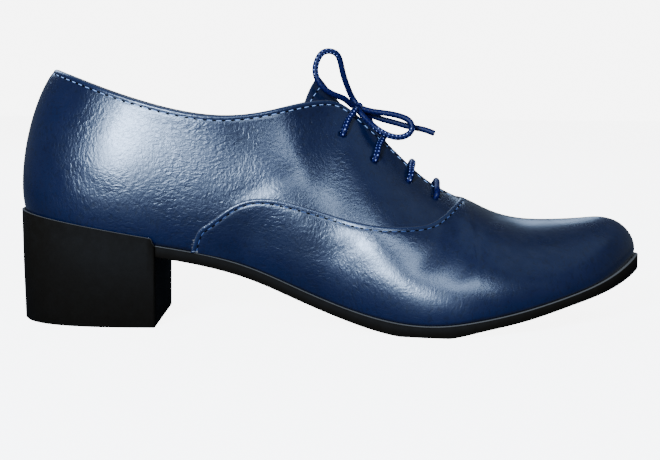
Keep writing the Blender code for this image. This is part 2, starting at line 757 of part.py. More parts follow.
def build_laces(cord):
    for number in range(len(EYELETS)):
        tube("lace_bar_%d" % (number + 1), bar_route(number), LACE_WIDTH, cord, BAR_POINTS)
    for name, rows in BOW_ROUTES.items():
        route = [(HEEL_BACK + along * LENGTH, AXIS_Y + y, z) for along, y, z in rows]
        tube(name, route, LACE_WIDTH, cord, BOW_POINTS)
    along, y, z = KNOT
    mesh = bpy.data.meshes.new("lace_knot")
    form = bmesh.new()
    size = Matrix.Diagonal((*KNOT_SIZE, 1.0))
    turn = Matrix.Rotation(radians(45), 4, "Y")
    place = Matrix.Translation((HEEL_BACK + along * LENGTH, AXIS_Y + y, z))
    bmesh.ops.create_icosphere(form, subdivisions=2, radius=0.5, matrix=place @ turn @ size)
    form.to_mesh(mesh)
    form.free()
    mesh.shade_smooth()
    mesh.materials.append(cord)
    knot = bpy.data.objects.new("lace_knot", mesh)
    bpy.context.scene.collection.objects.link(knot)


clear_scene()
navy = material("navy_leather", NAVY_LEATHER)
rubber = material("black_rubber", BLACK_RUBBER)
tan = material("tan_leather", TAN_LEATHER)
cord = material("navy_cord", NAVY_CORD)
build_upper(navy)
build_outsole(rubber)
build_heel(rubber)
build_insole(tan)
build_tongue(navy)
build_laces(cord)
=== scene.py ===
# %% [markdown]
# # A heeled oxford shoe
#
# A lace-up shoe of smooth navy leather on a black block heel. The upper is sewn from a
# vamp, which covers the toes, and two quarters, which meet in a plain seam at the back.
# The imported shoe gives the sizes, and everything here is made in the same frame: metres,
# +X to the toe, +Y to the inner side of the foot, +Z up.

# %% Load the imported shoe
from math import cos, pi, radians, sin

import bmesh
import bpy
import numpy as np
from mathutils import Matrix, Vector
from mathutils.bvhtree import BVHTree


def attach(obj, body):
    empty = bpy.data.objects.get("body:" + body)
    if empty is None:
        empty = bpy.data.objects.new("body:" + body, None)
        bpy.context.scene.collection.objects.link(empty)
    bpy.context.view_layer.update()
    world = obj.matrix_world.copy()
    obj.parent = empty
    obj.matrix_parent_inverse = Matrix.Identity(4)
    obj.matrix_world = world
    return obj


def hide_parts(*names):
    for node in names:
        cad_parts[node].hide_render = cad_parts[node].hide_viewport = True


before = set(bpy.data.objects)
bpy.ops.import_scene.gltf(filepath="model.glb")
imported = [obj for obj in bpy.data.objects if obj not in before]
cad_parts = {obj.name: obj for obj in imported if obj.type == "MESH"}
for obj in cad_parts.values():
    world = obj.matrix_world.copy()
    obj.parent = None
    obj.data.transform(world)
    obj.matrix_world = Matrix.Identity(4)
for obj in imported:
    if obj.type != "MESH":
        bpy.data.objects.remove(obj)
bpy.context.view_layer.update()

# %% [markdown]
# ## The camera
#
# The shoe is seen from its outer side, a little from above, through a long lens, so
# that both ends keep their real height. The floor line runs up to the right by half a
# degree, and the camera is rolled by as much.

# %% Camera
def in_scene(name, data):
    """A new object in the scene, at the origin and unturned."""
    made = bpy.data.objects.new(name, data)
    bpy.context.scene.collection.objects.link(made)
    return made


EYE_DISTANCE = 0.545
aim = Vector((-0.0008, 0.0029, 0.0369))
climb = radians(6.5)
eye = aim + Vector((0.0, -cos(climb), sin(climb))) * EYE_DISTANCE
camera = in_scene("camera", bpy.data.cameras.new("camera"))
camera.data.sensor_width = 36.0
camera.data.lens = 70.9
camera.data.clip_start = 0.01
camera.location = eye
turn = (aim - eye).to_track_quat("-Z", "Y").to_euler()
turn.rotate_axis("Z", radians(0.5))
camera.rotation_euler = turn
bpy.context.scene.camera = camera
print("camera stands", round((eye - aim).length, 3), "m from the shoe")

# %% [markdown]
# ## The last
#
# A shoemaker works over a last, a solid foot of wood. Here the last is a set of sections
# from heel to toe: each has a point on the foot line, where the upper meets the sole, a
# point on the top line, along the collar, the facings and the ridge of the vamp, and two
# handles that bulge the curve between them. A smooth spline runs through the sections,
# so every panel, seam and lace can be laid on one and the same surface.

# %% Sizes of the shoe
LENGTH = 0.2580
BALL_WIDTH = 0.088
SEAT_HEIGHT = 0.0428
INSTEP_HEIGHT = 0.0903
AXIS_Y = 0.0029
HEEL_BACK = -LENGTH / 2
SOLE_THICK = 0.0044
FOOT_GAP = 0.0003

# Shares of the four sizes: foot line along, outer and inner half width; top line along,
# half opening, height, drop of the inner side, swing of the ridge; then the bulges.
SECTIONS = np.array((
    (0.010, 0.000, 0.000, 0.056, 0.000, 1.141, 0.000, 0.000, 0.070, 0.20, 0.125, 0.20),
    (0.019, 0.119, 0.119, 0.062, 0.060, 1.135, 0.004, 0.000, 0.070, 0.21, 0.110, 0.21),
    (0.046, 0.216, 0.216, 0.081, 0.128, 1.118, 0.013, 0.000, 0.068, 0.23, 0.085, 0.24),
    (0.093, 0.282, 0.282, 0.116, 0.206, 1.084, 0.023, 0.000, 0.064, 0.26, 0.055, 0.28),
    (0.155, 0.310, 0.307, 0.169, 0.260, 1.031, 0.024, 0.000, 0.062, 0.28, 0.030, 0.30),
    (0.233, 0.310, 0.299, 0.239, 0.286, 0.974, 0.020, 0.000, 0.064, 0.30, 0.016, 0.32),
    (0.318, 0.305, 0.261, 0.313, 0.291, 0.942, 0.012, 0.000, 0.070, 0.32, 0.016, 0.32),
    (0.405, 0.320, 0.234, 0.383, 0.262, 0.955, 0.005, 0.000, 0.078, 0.33, 0.040, 0.30),
    (0.475, 0.359, 0.245, 0.445, 0.192, 0.994, 0.001, 0.000, 0.080, 0.33, 0.080, 0.26),
    (0.522, 0.398, 0.270, 0.498, 0.082, 1.009, 0.000, 0.000, 0.076, 0.33, 0.110, 0.20),
    (0.569, 0.441, 0.311, 0.530, 0.055, 0.966, 0.000, 0.000, 0.068, 0.33, 0.130, 0.17),
    (0.631, 0.491, 0.375, 0.605, 0.038, 0.771, 0.000, 0.000, 0.056, 0.33, 0.190, 0.16),
    (0.685, 0.514, 0.423, 0.665, 0.024, 0.626, 0.000, 0.000, 0.046, 0.34, 0.240, 0.11),
    (0.725, 0.509, 0.443, 0.705, 0.000, 0.568, 0.000, 0.000, 0.040, 0.36, 0.265, 0.03),
    (0.764, 0.486, 0.448, 0.742, 0.000, 0.520, 0.000, 0.004, 0.036, 0.38, 0.265, 0.00),
    (0.819, 0.427, 0.432, 0.793, 0.000, 0.474, 0.000, 0.014, 0.032, 0.38, 0.245, 0.00),
    (0.877, 0.343, 0.382, 0.851, 0.000, 0.466, 0.000, 0.030, 0.030, 0.36, 0.215, 0.00),
    (0.927, 0.239, 0.311, 0.897, 0.000, 0.472, 0.000, 0.044, 0.029, 0.33, 0.187, 0.00),
    (0.9635, 0.119, 0.227, 0.9215, 0.000, 0.478, 0.000, 0.054, 0.029, 0.29, 0.163, 0.00),
    (0.987, 0.006, 0.145, 0.931, 0.000, 0.478, 0.000, 0.062, 0.029, 0.26, 0.153, 0.00),
    (0.994, -0.066, 0.066, 0.934, 0.000, 0.478, 0.000, 0.066, 0.029, 0.25, 0.151, 0.00),
))
THROAT = 13


# %% A smooth curve through rows of values
class Spline:
    """Cubic curve through values at places, bending as little as it can."""

    def __init__(self, places, values, closed=False):
        self.places = np.asarray(places, float)
        self.values = np.asarray(values, float).reshape(len(self.places), -1)
        steps = np.diff(self.places)
        slopes = np.diff(self.values, axis=0) / steps[:, None]
        count = len(self.places)
        system, sides = np.eye(count), np.zeros_like(self.values)
        for i in range(1, count - 1):
            system[i, i - 1:i + 2] = steps[i - 1], 2 * (steps[i - 1] + steps[i]), steps[i]
            sides[i] = 6 * (slopes[i] - slopes[i - 1])
        if closed:
            system[0, 0], system[0, 1] = 2 * (steps[-1] + steps[0]), steps[0]
            system[0, count - 2] = steps[-1]
            sides[0] = 6 * (slopes[0] - slopes[-1])
            system[-1, 0] = -1
        self.bends = np.linalg.solve(system, sides)

    def __call__(self, places):
        x = np.atleast_1d(np.asarray(places, float))
        i = np.clip(np.searchsorted(self.places, x) - 1, 0, len(self.places) - 2)
        step = (self.places[i + 1] - self.places[i])[:, None]
        a = (self.places[i + 1] - x)[:, None] / step
        b = 1 - a
        bend = ((a ** 3 - a) * self.bends[i] + (b ** 3 - b) * self.bends[i + 1]) * step ** 2 / 6
        return a * self.values[i] + b * self.values[i + 1] + bend


def walked(points):
    """Distance walked along a row of points."""
    steps = np.linalg.norm(np.diff(points, axis=0), axis=1)
    return np.concatenate(((0.0,), np.cumsum(steps)))


def smooth_route(rows, count):
    """Evenly spaced points on a smooth curve through a few rows."""
    rows = np.asarray(rows, float)
    route = Spline(walked(rows), rows)
    return route(np.linspace(0.0, route.places[-1], count))


# %% The sole line: height and thickness of the outsole along the shoe
SOLE_LINE = np.array((
    (0.000, 0.998, 1.00), (0.110, 0.888, 1.00), (0.222, 0.775, 1.00), (0.298, 0.696, 1.04),
    (0.375, 0.570, 1.05), (0.453, 0.380, 1.05), (0.530, 0.213, 1.07), (0.603, 0.117, 1.14),
    (0.643, 0.103, 1.14), (0.681, 0.117, 1.12), (0.719, 0.151, 0.95), (0.797, 0.242, 0.90),
    (0.877, 0.363, 0.88), (0.923, 0.447, 1.02), (0.970, 0.560, 1.27), (1.000, 0.645, 1.48),
))
sole_spline = Spline(SOLE_LINE[:, 0] * LENGTH, SOLE_LINE[:, 1:] * (SEAT_HEIGHT, SOLE_THICK))


def sole_top(x):
    return sole_spline(x - HEEL_BACK)[:, 0]


def sole_bottom(x):
    heights = sole_spline(x - HEEL_BACK)
    return np.maximum(0.0, heights[:, 0] - heights[:, 1])


print("the sole touches the floor over",
      round(float(np.sum(sole_bottom(np.linspace(0.0, 0.06, 601)) == 0.0)) / 10, 1), "mm")


# %% Sections in metres, and one closed spline around the shoe
def section_values(row, side):
    """Foot x and y, top x, height and swing, then the four handles, of one side."""
    half, drop = (row[1], 0.0) if side < 0 else (row[2], row[6])
    foot_x = HEEL_BACK + row[0] * LENGTH
    top_z = (row[5] - drop) * INSTEP_HEIGHT
    rise = top_z - sole_top(foot_x)[0]
    return (foot_x, side * half * BALL_WIDTH, HEEL_BACK + row[3] * LENGTH, top_z,
            row[7] * BALL_WIDTH, row[8] * BALL_WIDTH, row[9] * rise,
            row[10] * BALL_WIDTH, row[11] * rise)


outer_rows, inner_rows = ([section_values(row, side) for row in SECTIONS] for side in (-1, 1))
opening = SECTIONS[:, 4] * BALL_WIDTH
KNOTS = np.zeros(len(SECTIONS))
for rows in (outer_rows, inner_rows):
    rows = np.array(rows)
    KNOTS += (walked(rows[:, :2]) + walked(np.column_stack((rows[:, 2:4], opening)))) / 4
TOE = KNOTS[-1]
THROAT_AT = KNOTS[THROAT]
last_spline = Spline(list(KNOTS) + [2 * TOE - k for k in KNOTS[-2::-1]],
                     outer_rows + inner_rows[-2::-1], closed=True)
opening_spline = Spline(KNOTS[:THROAT + 1], opening[:THROAT + 1])
print("from the back seam to the toe the last measures", round(float(TOE), 3), "m")


# %% Points and directions on the last
def side_values(side, u):
    return last_spline(u if side < 0 else 2 * TOE - u)


def outward(side, u):
    """Level direction square to the foot line, away from the shoe."""
    place = u if side < 0 else 2 * TOE - u
    ahead, behind = (last_spline((place + step) % (2 * TOE)) for step in (1e-5, -1e-5))
    x, y = (ahead - behind)[:, :2].T
    return np.column_stack((y, -x, 0 * x)) / np.hypot(x, y)[:, None]


def foot_points(side, u):
    x, y = side_values(side, u)[:, :2].T
    return np.column_stack((x, y + AXIS_Y, sole_top(x) + FOOT_GAP))


def top_points(side, u):
    values = side_values(side, u)
    half = np.where(u < THROAT_AT, opening_spline(np.minimum(u, THROAT_AT))[:, 0], 0.0)
    return np.column_stack((values[:, 2], values[:, 4] + side * half + AXIS_Y, values[:, 3]))


def ridge_slope(u):
    """Rise of the vamp's ridge along the shoe, level at its two ends."""
    ahead, behind = last_spline(u + 1e-4), last_spline(u - 1e-4)
    slope = (ahead[:, 3] - behind[:, 3]) / (ahead[:, 2] - behind[:, 2])
    fade = np.clip((KNOTS[-3] - u) / (KNOTS[-3] - KNOTS[-6]), 0.0, 1.0)
    return np.where((u <= THROAT_AT) | (fade == 0.0), 0.0, slope * fade * fade * (3 - 2 * fade))


def last_points(side, u, t):
    """Points on the last: u around the shoe, t up its section from foot to top."""
    u, t = np.broadcast_arrays(np.asarray(u, float), np.asarray(t, float))
    low_out, low_up, top_out, top_down = side_values(side, u)[:, 5:].T
    away, up = outward(side, u), np.array((0.0, 0.0, 1.0))
    foot, top = foot_points(side, u), top_points(side, u)
    low = foot + away * low_out[:, None] + up * low_up[:, None]
    high = top + away * top_out[:, None]
    high = high + up * (top_out * away[:, 0] * ridge_slope(u) - top_down)[:, None]
    t = t[:, None]
    s = 1 - t
    return s ** 3 * foot + 3 * s * s * t * low + 3 * s * t * t * high + t ** 3 * top


def side_normals(side, u, t):
    u, t = np.broadcast_arrays(np.asarray(u, float), np.asarray(t, float))
    near_tip = (t > 0.98) & (u > KNOTS[-3])
    t = np.where(near_tip, 0.96, t)
    low_t, high_t = np.maximum(t - 2e-3, 0.0), np.minimum(t + 2e-3, 1.0)
    low_u, high_u = np.maximum(u - 2e-4, 0.0), np.minimum(u + 2e-4, TOE)
    along = last_points(side, high_u, t) - last_points(side, low_u, t)
    rise = last_points(side, u, high_t) - last_points(side, u, low_t)
    normal = np.cross(along, rise) * -side
    return normal / np.linalg.norm(normal, axis=1)[:, None]


def last_normals(side, u, t):
    """Outward directions, level at the foot and shared where the two sides meet."""
    u, t = np.broadcast_arrays(np.asarray(u, float), np.asarray(t, float))
    normal = side_normals(side, u, t)
    meets = ((t > 0.999) & (u > THROAT_AT - 1e-6)) | (u < 1e-6) | (u > TOE - 1e-6)
    normal = normal + side_normals(-side, u, t) * meets[:, None]
    normal[u < 1e-6, 1] = 0.0
    normal = np.where((t < 1e-6)[:, None], outward(side, u), normal)
    return normal / np.linalg.norm(normal, axis=1)[:, None]


# %% [markdown]
# ## Where the lace runs
#
# The lace is a waxed round cord. It is the first piece to be laid, because a free cord
# has a real length, and that length has to fit the shoe. Four straight bars cross the
# gap between the facings, each from a punched hole to the hole opposite. The top bar is
# tied in a small bow: two loops and two ends, which lie on the leather under their own
# weight, apart from the loop that the stiff wax holds upright.

# %% Places of the eyelets on the quarters
LACE = 0.0025
WALL = 0.0020
# Each eyelet's shares of the length and of the instep's height, and the share of the
# length at which its bar leaves the facing.
EYELETS = ((0.516, 0.860, 0.534), (0.566, 0.746, 0.580), (0.621, 0.654, 0.625),
           (0.664, 0.579, 0.665))


def located(side, x, z):
    """Place on the last of a point seen from the side, by closing in on it."""
    u, t = THROAT_AT * 0.85, 0.8
    for _ in range(30):
        here, by_u, by_t = last_points(side, np.array((u, u + 1e-5, u)),
                                       np.array((t, t, t + 1e-5)))[:, [0, 2]]
        change = np.linalg.solve(np.column_stack((by_u - here, by_t - here)) / 1e-5,
                                 np.array((x, z)) - here)
        u = float(np.clip(u + change[0], KNOTS[8], THROAT_AT))
        t = float(np.clip(t + change[1], 0.4, 0.99))
    return u, t


def found(function, low, high):
    """Where a rising function crosses zero, for one place or many at once."""
    for _ in range(40):
        middle = (low + high) / 2
        below = function(middle) < 0
        low, high = np.where(below, middle, low), np.where(below, high, middle)
    return (low + high) / 2


def facing_place(along):
    x = HEEL_BACK + along * LENGTH
    return float(found(lambda u: side_values(-1, u)[0, 2] - x, KNOTS[8], KNOTS[16]))


holes = {side: [located(side, HEEL_BACK + along * LENGTH, height * INSTEP_HEIGHT)
                for along, height, edge in EYELETS] for side in (-1, 1)}
print("eyelets of the outer quarter at", [tuple(np.round(h, 3)) for h in holes[-1]])


# %% Routes of the four bars
def bar_route(number):
    """From under one facing, up through its eyelet, across, and down on the far side."""
    lift = LACE / 2 + 0.0005
    edge = facing_place(EYELETS[number][2])
    halves = []
    for side in (-1, 1):
        u, t = holes[side][number]
        hole, normal = last_points(side, [u], [t])[0], last_normals(side, [u], [t])[0]
        line = [hole - normal * WALL * 1.3, hole + normal * lift / 2]
        for share in (0.16, 0.50, 0.92):
            at_u, at_t = [u + (edge - u) * share], [t + (1 - t) * share]
            line.append(last_points(side, at_u, at_t)[0] + last_normals(side, at_u, at_t)[0] * lift)
        halves.append(line)
    crown = (halves[0][-1] + halves[1][-1]) / 2 + np.array((0.0, 0.0, 0.0004))
    return smooth_route(halves[0] + [crown] + halves[1][::-1], 48)


# %% Routes of the bow, as shares of the length, then metres from the axis and the floor
KNOT = (0.5404, 0.000, 0.0884)
BOW = {
    "lace_loop_up": (
        (0.5316, -0.0019, 0.0890), (0.5205, -0.0046, 0.0913), (0.5002, -0.0068, 0.0936),
        (0.4834, -0.0078, 0.0965), (0.4744, -0.0078, 0.0999), (0.4714, -0.0074, 0.1035),
        (0.4748, -0.0068, 0.1075), (0.4829, -0.0062, 0.1104), (0.4940, -0.0056, 0.1111),
        (0.5052, -0.0050, 0.1099), (0.5114, -0.0042, 0.1065), (0.5156, -0.0032, 0.1020),
        (0.5226, -0.0016, 0.0968), (0.5328, 0.0007, 0.0914)),
    "lace_loop_front": (
        (0.5510, -0.0012, 0.0874), (0.5680, -0.0030, 0.0865), (0.5902, -0.0050, 0.0858),
        (0.6100, -0.0070, 0.0846), (0.6232, -0.0084, 0.0824), (0.6250, -0.0090, 0.0794),
        (0.6154, -0.0096, 0.0770), (0.6009, -0.0100, 0.0764), (0.5842, -0.0100, 0.0776),
        (0.5666, -0.0088, 0.0804), (0.5505, -0.0062, 0.0841), (0.5418, -0.0043, 0.0867)),
    "lace_end_lateral": (
        (0.5500, 0.0020, 0.0866), (0.5777, 0.0018, 0.0835), (0.6027, 0.0010, 0.0818),
        (0.6252, 0.0000, 0.0803), (0.6476, -0.0014, 0.0792), (0.6628, -0.0025, 0.0778)),
    "lace_end_medial": (
        (0.5410, 0.0043, 0.0882), (0.5515, 0.0086, 0.0866), (0.5620, 0.0130, 0.0820),
        (0.5740, 0.0164, 0.0768), (0.5880, 0.0190, 0.0718), (0.6030, 0.0212, 0.0672),
        (0.6160, 0.0230, 0.0634)),
}


def in_metres(row):
    return np.array((HEEL_BACK + row[0] * LENGTH, AXIS_Y + row[1], row[2]))


knot_at = in_metres(KNOT)


# %% [markdown]
# A cord is a curve with a round bevel. It is turned into a mesh, because a mesh keeps the
# map that the curve gives it, one way along the cord and the other way around it. The
# way along is stretched to the cord's real length, so that the braid has the same size
# on every piece.

# %% Cord maker
def laid_cord(name, points, width, glinting=None):
    """A round cord along points, as a mesh with a map in cord widths."""
    curve = bpy.data.curves.new(name, "CURVE")
    curve.dimensions = "3D"
    line = curve.splines.new("POLY")
    line.points.add(len(points) - 1)
    for point, place in zip(line.points, points):
        point.co = (*place, 1.0)
    curve.bevel_depth = width / 2
    curve.bevel_resolution = 5
    curve.use_fill_caps = True
    guide = in_scene(name + "_guide", curve)
    seen = guide.evaluated_get(bpy.context.evaluated_depsgraph_get())
    mesh = bpy.data.meshes.new_from_object(seen)
    bpy.data.objects.remove(guide, do_unlink=True)
    mesh.name = name
    length = float(walked(points)[-1])
    for corner in mesh.uv_layers[0].data:
        corner.uv = (corner.uv[0] * length / width, corner.uv[1])
    # The attribute marks where pale dots of painted glint go on the braid.
    shown = mesh.attributes.new("painted_glints", "FLOAT", "POINT")
    for vertex, value in zip(mesh.vertices, shown.data):
        value.value = 1.0 if glinting is not None and glinting(vertex.co) else 0.0
    mesh.shade_smooth()
    made = in_scene(name, mesh)
    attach(made, "root")
    return made, length


laces = []
for number in range(4):
    # Bars 1 to 3 carry painted glints all along, and the top bar has none.
    bar, length = laid_cord("bar_%d" % (number + 1), bar_route(number), LACE,
                            (lambda at: True) if number < 3 else None)
    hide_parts("lace_bar_%d" % (number + 1))
    laces.append(bar)
    print(bar.name, "is", round(length * 1000, 1), "mm long")

# %% Bow and knot
KNOT_TURNS = 1.75
KNOT_REACH = 0.0012
KNOT_HALF_WIDTH = 0.0017
knot_rows = []
for share in np.linspace(0.0, 1.0, 25):
    angle = 2 * pi * KNOT_TURNS * share
    knot_rows.append(knot_at + (KNOT_REACH * cos(angle) + 0.0002,
                                KNOT_HALF_WIDTH * (share * 2 - 1), KNOT_REACH * sin(angle)))
knot, length = laid_cord("knot", smooth_route(knot_rows, 60), LACE * 0.62)
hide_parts("lace_knot")
laces.append(knot)
# Painted glints: pale dots lie only on the stretches of the bow that catch the light.
GLINTING_STRETCHES = {
    "lace_loop_up": lambda at: at.x < 0.0020 and at.z > 0.1005,
    "lace_loop_front": lambda at: at.z < 0.0805 or at.x > 0.0340,
}
for name, rows in BOW.items():
    route = [in_metres(row) for row in rows]
    route.insert(0, knot_at * 0.6 + route[0] * 0.4)
    if "loop" in name:
        route.append(knot_at * 0.6 + route[-1] * 0.4)
    points = smooth_route(route, 90)
    piece, length = laid_cord(name.replace("lace", "bow"), points, LACE, GLINTING_STRETCHES.get(name))
    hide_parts(name)
    laces.append(piece)
    print(piece.name, "is", round(length * 1000, 1), "mm long")


# %% [markdown]
# ## Leather panels
#
# Each panel starts as a flat grid, as the leather starts as a flat piece on the cutting
# table. Its points are then moved onto the last: one way of the grid runs around the
# shoe, and the other way runs up the section between two shares. Each point also knows
# how far it lies from its panel's edge, for the rolled edge, the channel of the seam, the
# painted highlight along the edge and the raw cut edge. A Solidify modifier gives the
# leather its thickness on the inside.

# %% Panel maker
def columns(start, end, per_section):
    """Places around the shoe, more of them where the sections lie closer."""
    marks = [np.linspace(a, b, per_section + 1) for a, b in zip(KNOTS[:-1], KNOTS[1:])]
    marks = np.unique(np.round(np.concatenate(marks), 9))
    inside = marks[(marks > start + 4e-4) & (marks < end - 4e-4)]
    return np.concatenate(((start,), inside, (end,)))


def lay_panel(form, side, places, rows, low, high, edge_line, height, crowd=1.0):
    """A grid on one side of the last. Its rows crowd towards the panel's edge."""
    know_edge = form.verts.layers.float.get("from_edge") or form.verts.layers.float.new("from_edge")
    made = bmesh.ops.create_grid(form, x_segments=len(places) - 1, y_segments=rows, size=0.5)
    square = np.array([vertex.co for vertex in made["verts"]]) + 0.5
    column = np.rint(square[:, 0] * (len(places) - 1)).astype(int)
    u = places[column]
    from_top = np.clip(1.0 - square[:, 1], 0.0, 1.0) ** crowd
    t = high[column] - (high[column] - low[column]) * from_top
    points = last_points(side, u, t)
    distance = nearest(points, edge_line)
    points = points + last_normals(side, u, t) * height(points, distance)[:, None]
    for vertex, point, away in zip(made["verts"], points, distance):
        vertex.co = point
        vertex[know_edge] = away
    if side > 0:
        faces = {face for vertex in made["verts"] for face in vertex.link_faces}
        bmesh.ops.reverse_faces(form, faces=list(faces))


def mesh_of(name, form):
    mesh = bpy.data.meshes.new(name)
    form.to_mesh(mesh)
    form.free()
    return mesh


def finished(name, form, slot, *nodes):
    """The form as a smooth object that rides on the shoe and stands for CAD nodes."""
    made = in_scene(name, mesh_of(name, form))
    made.data.shade_smooth()
    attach(made, "root")
    if nodes:
        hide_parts(*nodes)
    return made


OUTER_LEATHER, LINING_LEATHER, TONGUE_LEATHER = 0.0011, 0.0008, 0.0018


def thickened(piece, thickness):
    """The panel with its real thickness, which grows inwards."""
    wall = piece.modifiers.new("thickness", "SOLIDIFY")
    wall.thickness = thickness
    wall.offset = -1.0
    wall.use_even_offset = False
    return wall


# %% [markdown]
# ## The vamp's edge
#
# The vamp laps over the quarters, and its edge runs in one long S from the waist of the
# sole up to the throat. It is cut, not turned, so it stands up as a step of one
# millimetre. The collar is turned, so it is rounder. A shoe that has been tried on has
# soft creases over the ball and on its sides, and both panels share them.

# %% Where the vamp ends
VAMP_EDGE = np.array((
    (0.282, 0.334), (0.289, 0.404), (0.304, 0.460), (0.346, 0.547), (0.393, 0.582),
    (0.443, 0.558), (0.502, 0.508), (0.560, 0.470), (0.618, 0.460), (0.659, 0.479),
    (0.692, 0.541), (0.705, 0.568),
))
VAMP_STEP = 0.0010
STEP_REACH = 0.018
SEAM_INSET = 0.0020
CHANNEL_DEPTH = 0.00013
CHANNEL_WIDTH = 0.00055
vamp_spline = Spline(VAMP_EDGE[:, 0] * LENGTH, VAMP_EDGE[:, 1] * INSTEP_HEIGHT)
VAMP_START = float(found(
    lambda u: side_values(-1, u)[0, 0] - HEEL_BACK - VAMP_EDGE[0, 0] * LENGTH, KNOTS[4], KNOTS[8]))


def edge_share(side, u):
    """How far up its section the vamp's edge lies: 0 at the sole, 1 from the throat on."""
    def above(t):
        points = last_points(side, u, t)
        return points[:, 2] - vamp_spline(points[:, 0] - HEEL_BACK)[:, 0]
    share = found(above, np.zeros(len(u)), np.ones(len(u)))
    share = np.where(u <= VAMP_START + 1e-9, 0.0, share)
    return np.where(u >= THROAT_AT - 1e-9, 1.0, share)


def evenly(start, end, line_of, step):
    """Places between two ends that lie a step apart on a line over the last."""
    dense = start + (end - start) * (0.5 - 0.5 * np.cos(np.linspace(0.0, pi, 500)))
    walk = walked(line_of(dense))
    return np.interp(np.linspace(0.0, walk[-1], int(walk[-1] / step)), walk, dense)


edge_places = evenly(VAMP_START, THROAT_AT, lambda u: last_points(-1, u, edge_share(-1, u)), 0.0010)
vamp_edge = {side: last_points(side, edge_places, edge_share(side, edge_places))
             for side in (-1, 1)}
vamp_edge_line = np.concatenate((vamp_edge[-1], vamp_edge[1][-2::-1]))


def finely(line, step=0.0003):
    """The same line with a point every third of a millimetre."""
    walk = walked(line)
    marks = np.arange(0.0, walk[-1], step)
    return np.column_stack([np.interp(marks, walk, line[:, k]) for k in range(3)])


vamp_edge_fine = finely(vamp_edge_line)


def nearest(points, line):
    """Distance of each point from a line of closely spaced points."""
    return np.array([np.min(np.linalg.norm(line - point, axis=1)) for point in points])


def edge_form(distance, roll, roll_width):
    """A rolled edge, and a soft channel where the thread pulls the leather down."""
    rolled = np.clip(1.0 - distance / roll_width, 0.0, 1.0) ** 2
    return -roll * rolled - CHANNEL_DEPTH * np.exp(-((distance - SEAM_INSET) / CHANNEL_WIDTH) ** 2)


# %% Soft creases: x and height of both ends, then depth or rise, and half width
CREASES = (
    (0.034, 0.026, 0.050, 0.052, -0.00022, 0.0030),
    (0.041, 0.024, 0.058, 0.049, 0.00018, 0.0032),
    (0.048, 0.022, 0.066, 0.045, -0.00020, 0.0030),
    (0.057, 0.022, 0.073, 0.042, 0.00014, 0.0032),
    (-0.040, 0.052, -0.012, 0.064, -0.00020, 0.0040),
    (-0.046, 0.045, -0.018, 0.055, 0.00016, 0.0042),
    (-0.104, 0.062, -0.086, 0.052, -0.00014, 0.0040),
    (0.000, 0.030, 0.018, 0.040, -0.00012, 0.0036),
)


def creased(points):
    """Troughs and ridges of a worn-in shoe, soft across and fading at their ends."""
    height = np.zeros(len(points))
    flat = points[:, (0, 2)]
    for x1, z1, x2, z2, depth, width in CREASES:
        start, run = np.array((x1, z1)), np.array((x2 - x1, z2 - z1))
        share = (flat - start) @ run / (run @ run)
        line = start + np.clip(share, 0.0, 1.0)[:, None] * run
        away = np.linalg.norm(flat - line, axis=1)
        fade = np.clip(np.minimum(share, 1.0 - share) / 0.4 + 0.4, 0.0, 1.0)
        height += depth * fade * fade * (3 - 2 * fade) * np.exp(-(away / width) ** 2)
    return height


def vamp_lift(points, distance):
    """One millimetre proud at the edge, sinking to the last over eighteen."""
    share = np.clip(1.0 - distance / STEP_REACH, 0.0, 1.0)
    step = VAMP_STEP * share * share * (3 - 2 * share)
    return step + edge_form(distance, 0.00030, 0.0008) + creased(points)


def quarter_lift(points, distance):
    """A rolled collar, a groove down the back seam, and the creases."""
    behind = np.where(points[:, 0] < -0.09, np.abs(points[:, 1] - AXIS_Y), 1.0)
    groove = -0.00035 * np.exp(-(behind / 0.0006) ** 2)
    return edge_form(distance, 0.00045, 0.0010) + groove + creased(points)


# %% Vamp
form = bmesh.new()
places = np.concatenate((edge_places, columns(THROAT_AT, TOE, 8)[1:]))
for side in (-1, 1):
    lay_panel(form, side, places, 44, np.zeros(len(places)), edge_share(side, places),
              vamp_edge_fine, vamp_lift, crowd=1.5)
bmesh.ops.remove_doubles(form, verts=form.verts[:], dist=5e-5)
ridge_line = last_points(1, columns(KNOTS[-9], TOE, 8), 1.0)
for reach in (0.007, 0.005, 0.003):
    near_ridge = [vertex for vertex in form.verts if vertex.co.x > ridge_line[0, 0] + 0.007 - reach
                  and vertex.co.z > 0.038 and nearest([np.array(vertex.co)], ridge_line)[0] < reach]
    for _ in range(12):
        bmesh.ops.smooth_vert(form, verts=near_ridge, factor=0.5, use_axis_x=True,
                              use_axis_y=True, use_axis_z=True)
form.normal_update()
vamp_tree = BVHTree.FromBMesh(form)
vamp = finished("vamp", form, "navy_leather", "upper")
thickened(vamp, OUTER_LEATHER).material_offset_rim = 1
print("vamp has", len(vamp.data.polygons), "faces")

# %% Quarters
top_places = evenly(0.0, THROAT_AT, lambda u: last_points(-1, u, 1.0), 0.0012)
collar_line = np.concatenate((last_points(-1, top_places[::-1], 1.0),
                              last_points(1, top_places[1:], 1.0)))
collar_fine = finely(collar_line)
form = bmesh.new()
places = evenly(0.0, THROAT_AT, lambda u: last_points(-1, u, 1.0), 0.0016)
places = np.concatenate(((0.0, 0.0003, 0.0006, 0.0009, 0.0013), places[places > 0.0015]))
for side in (-1, 1):
    low = np.maximum(edge_share(side, np.maximum(places - 0.003, 0.0)) - 0.08, 0.0)
    lay_panel(form, side, places, 56, low, np.ones(len(places)), collar_fine,
              quarter_lift, crowd=1.6)
bmesh.ops.remove_doubles(form, verts=form.verts[:], dist=2e-6)
form.normal_update()
quarter_tree = BVHTree.FromBMesh(form)
quarters = finished("quarters", form, "navy_leather")
thickened(quarters, OUTER_LEATHER)
print("quarters have", len(quarters.data.polygons), "faces")

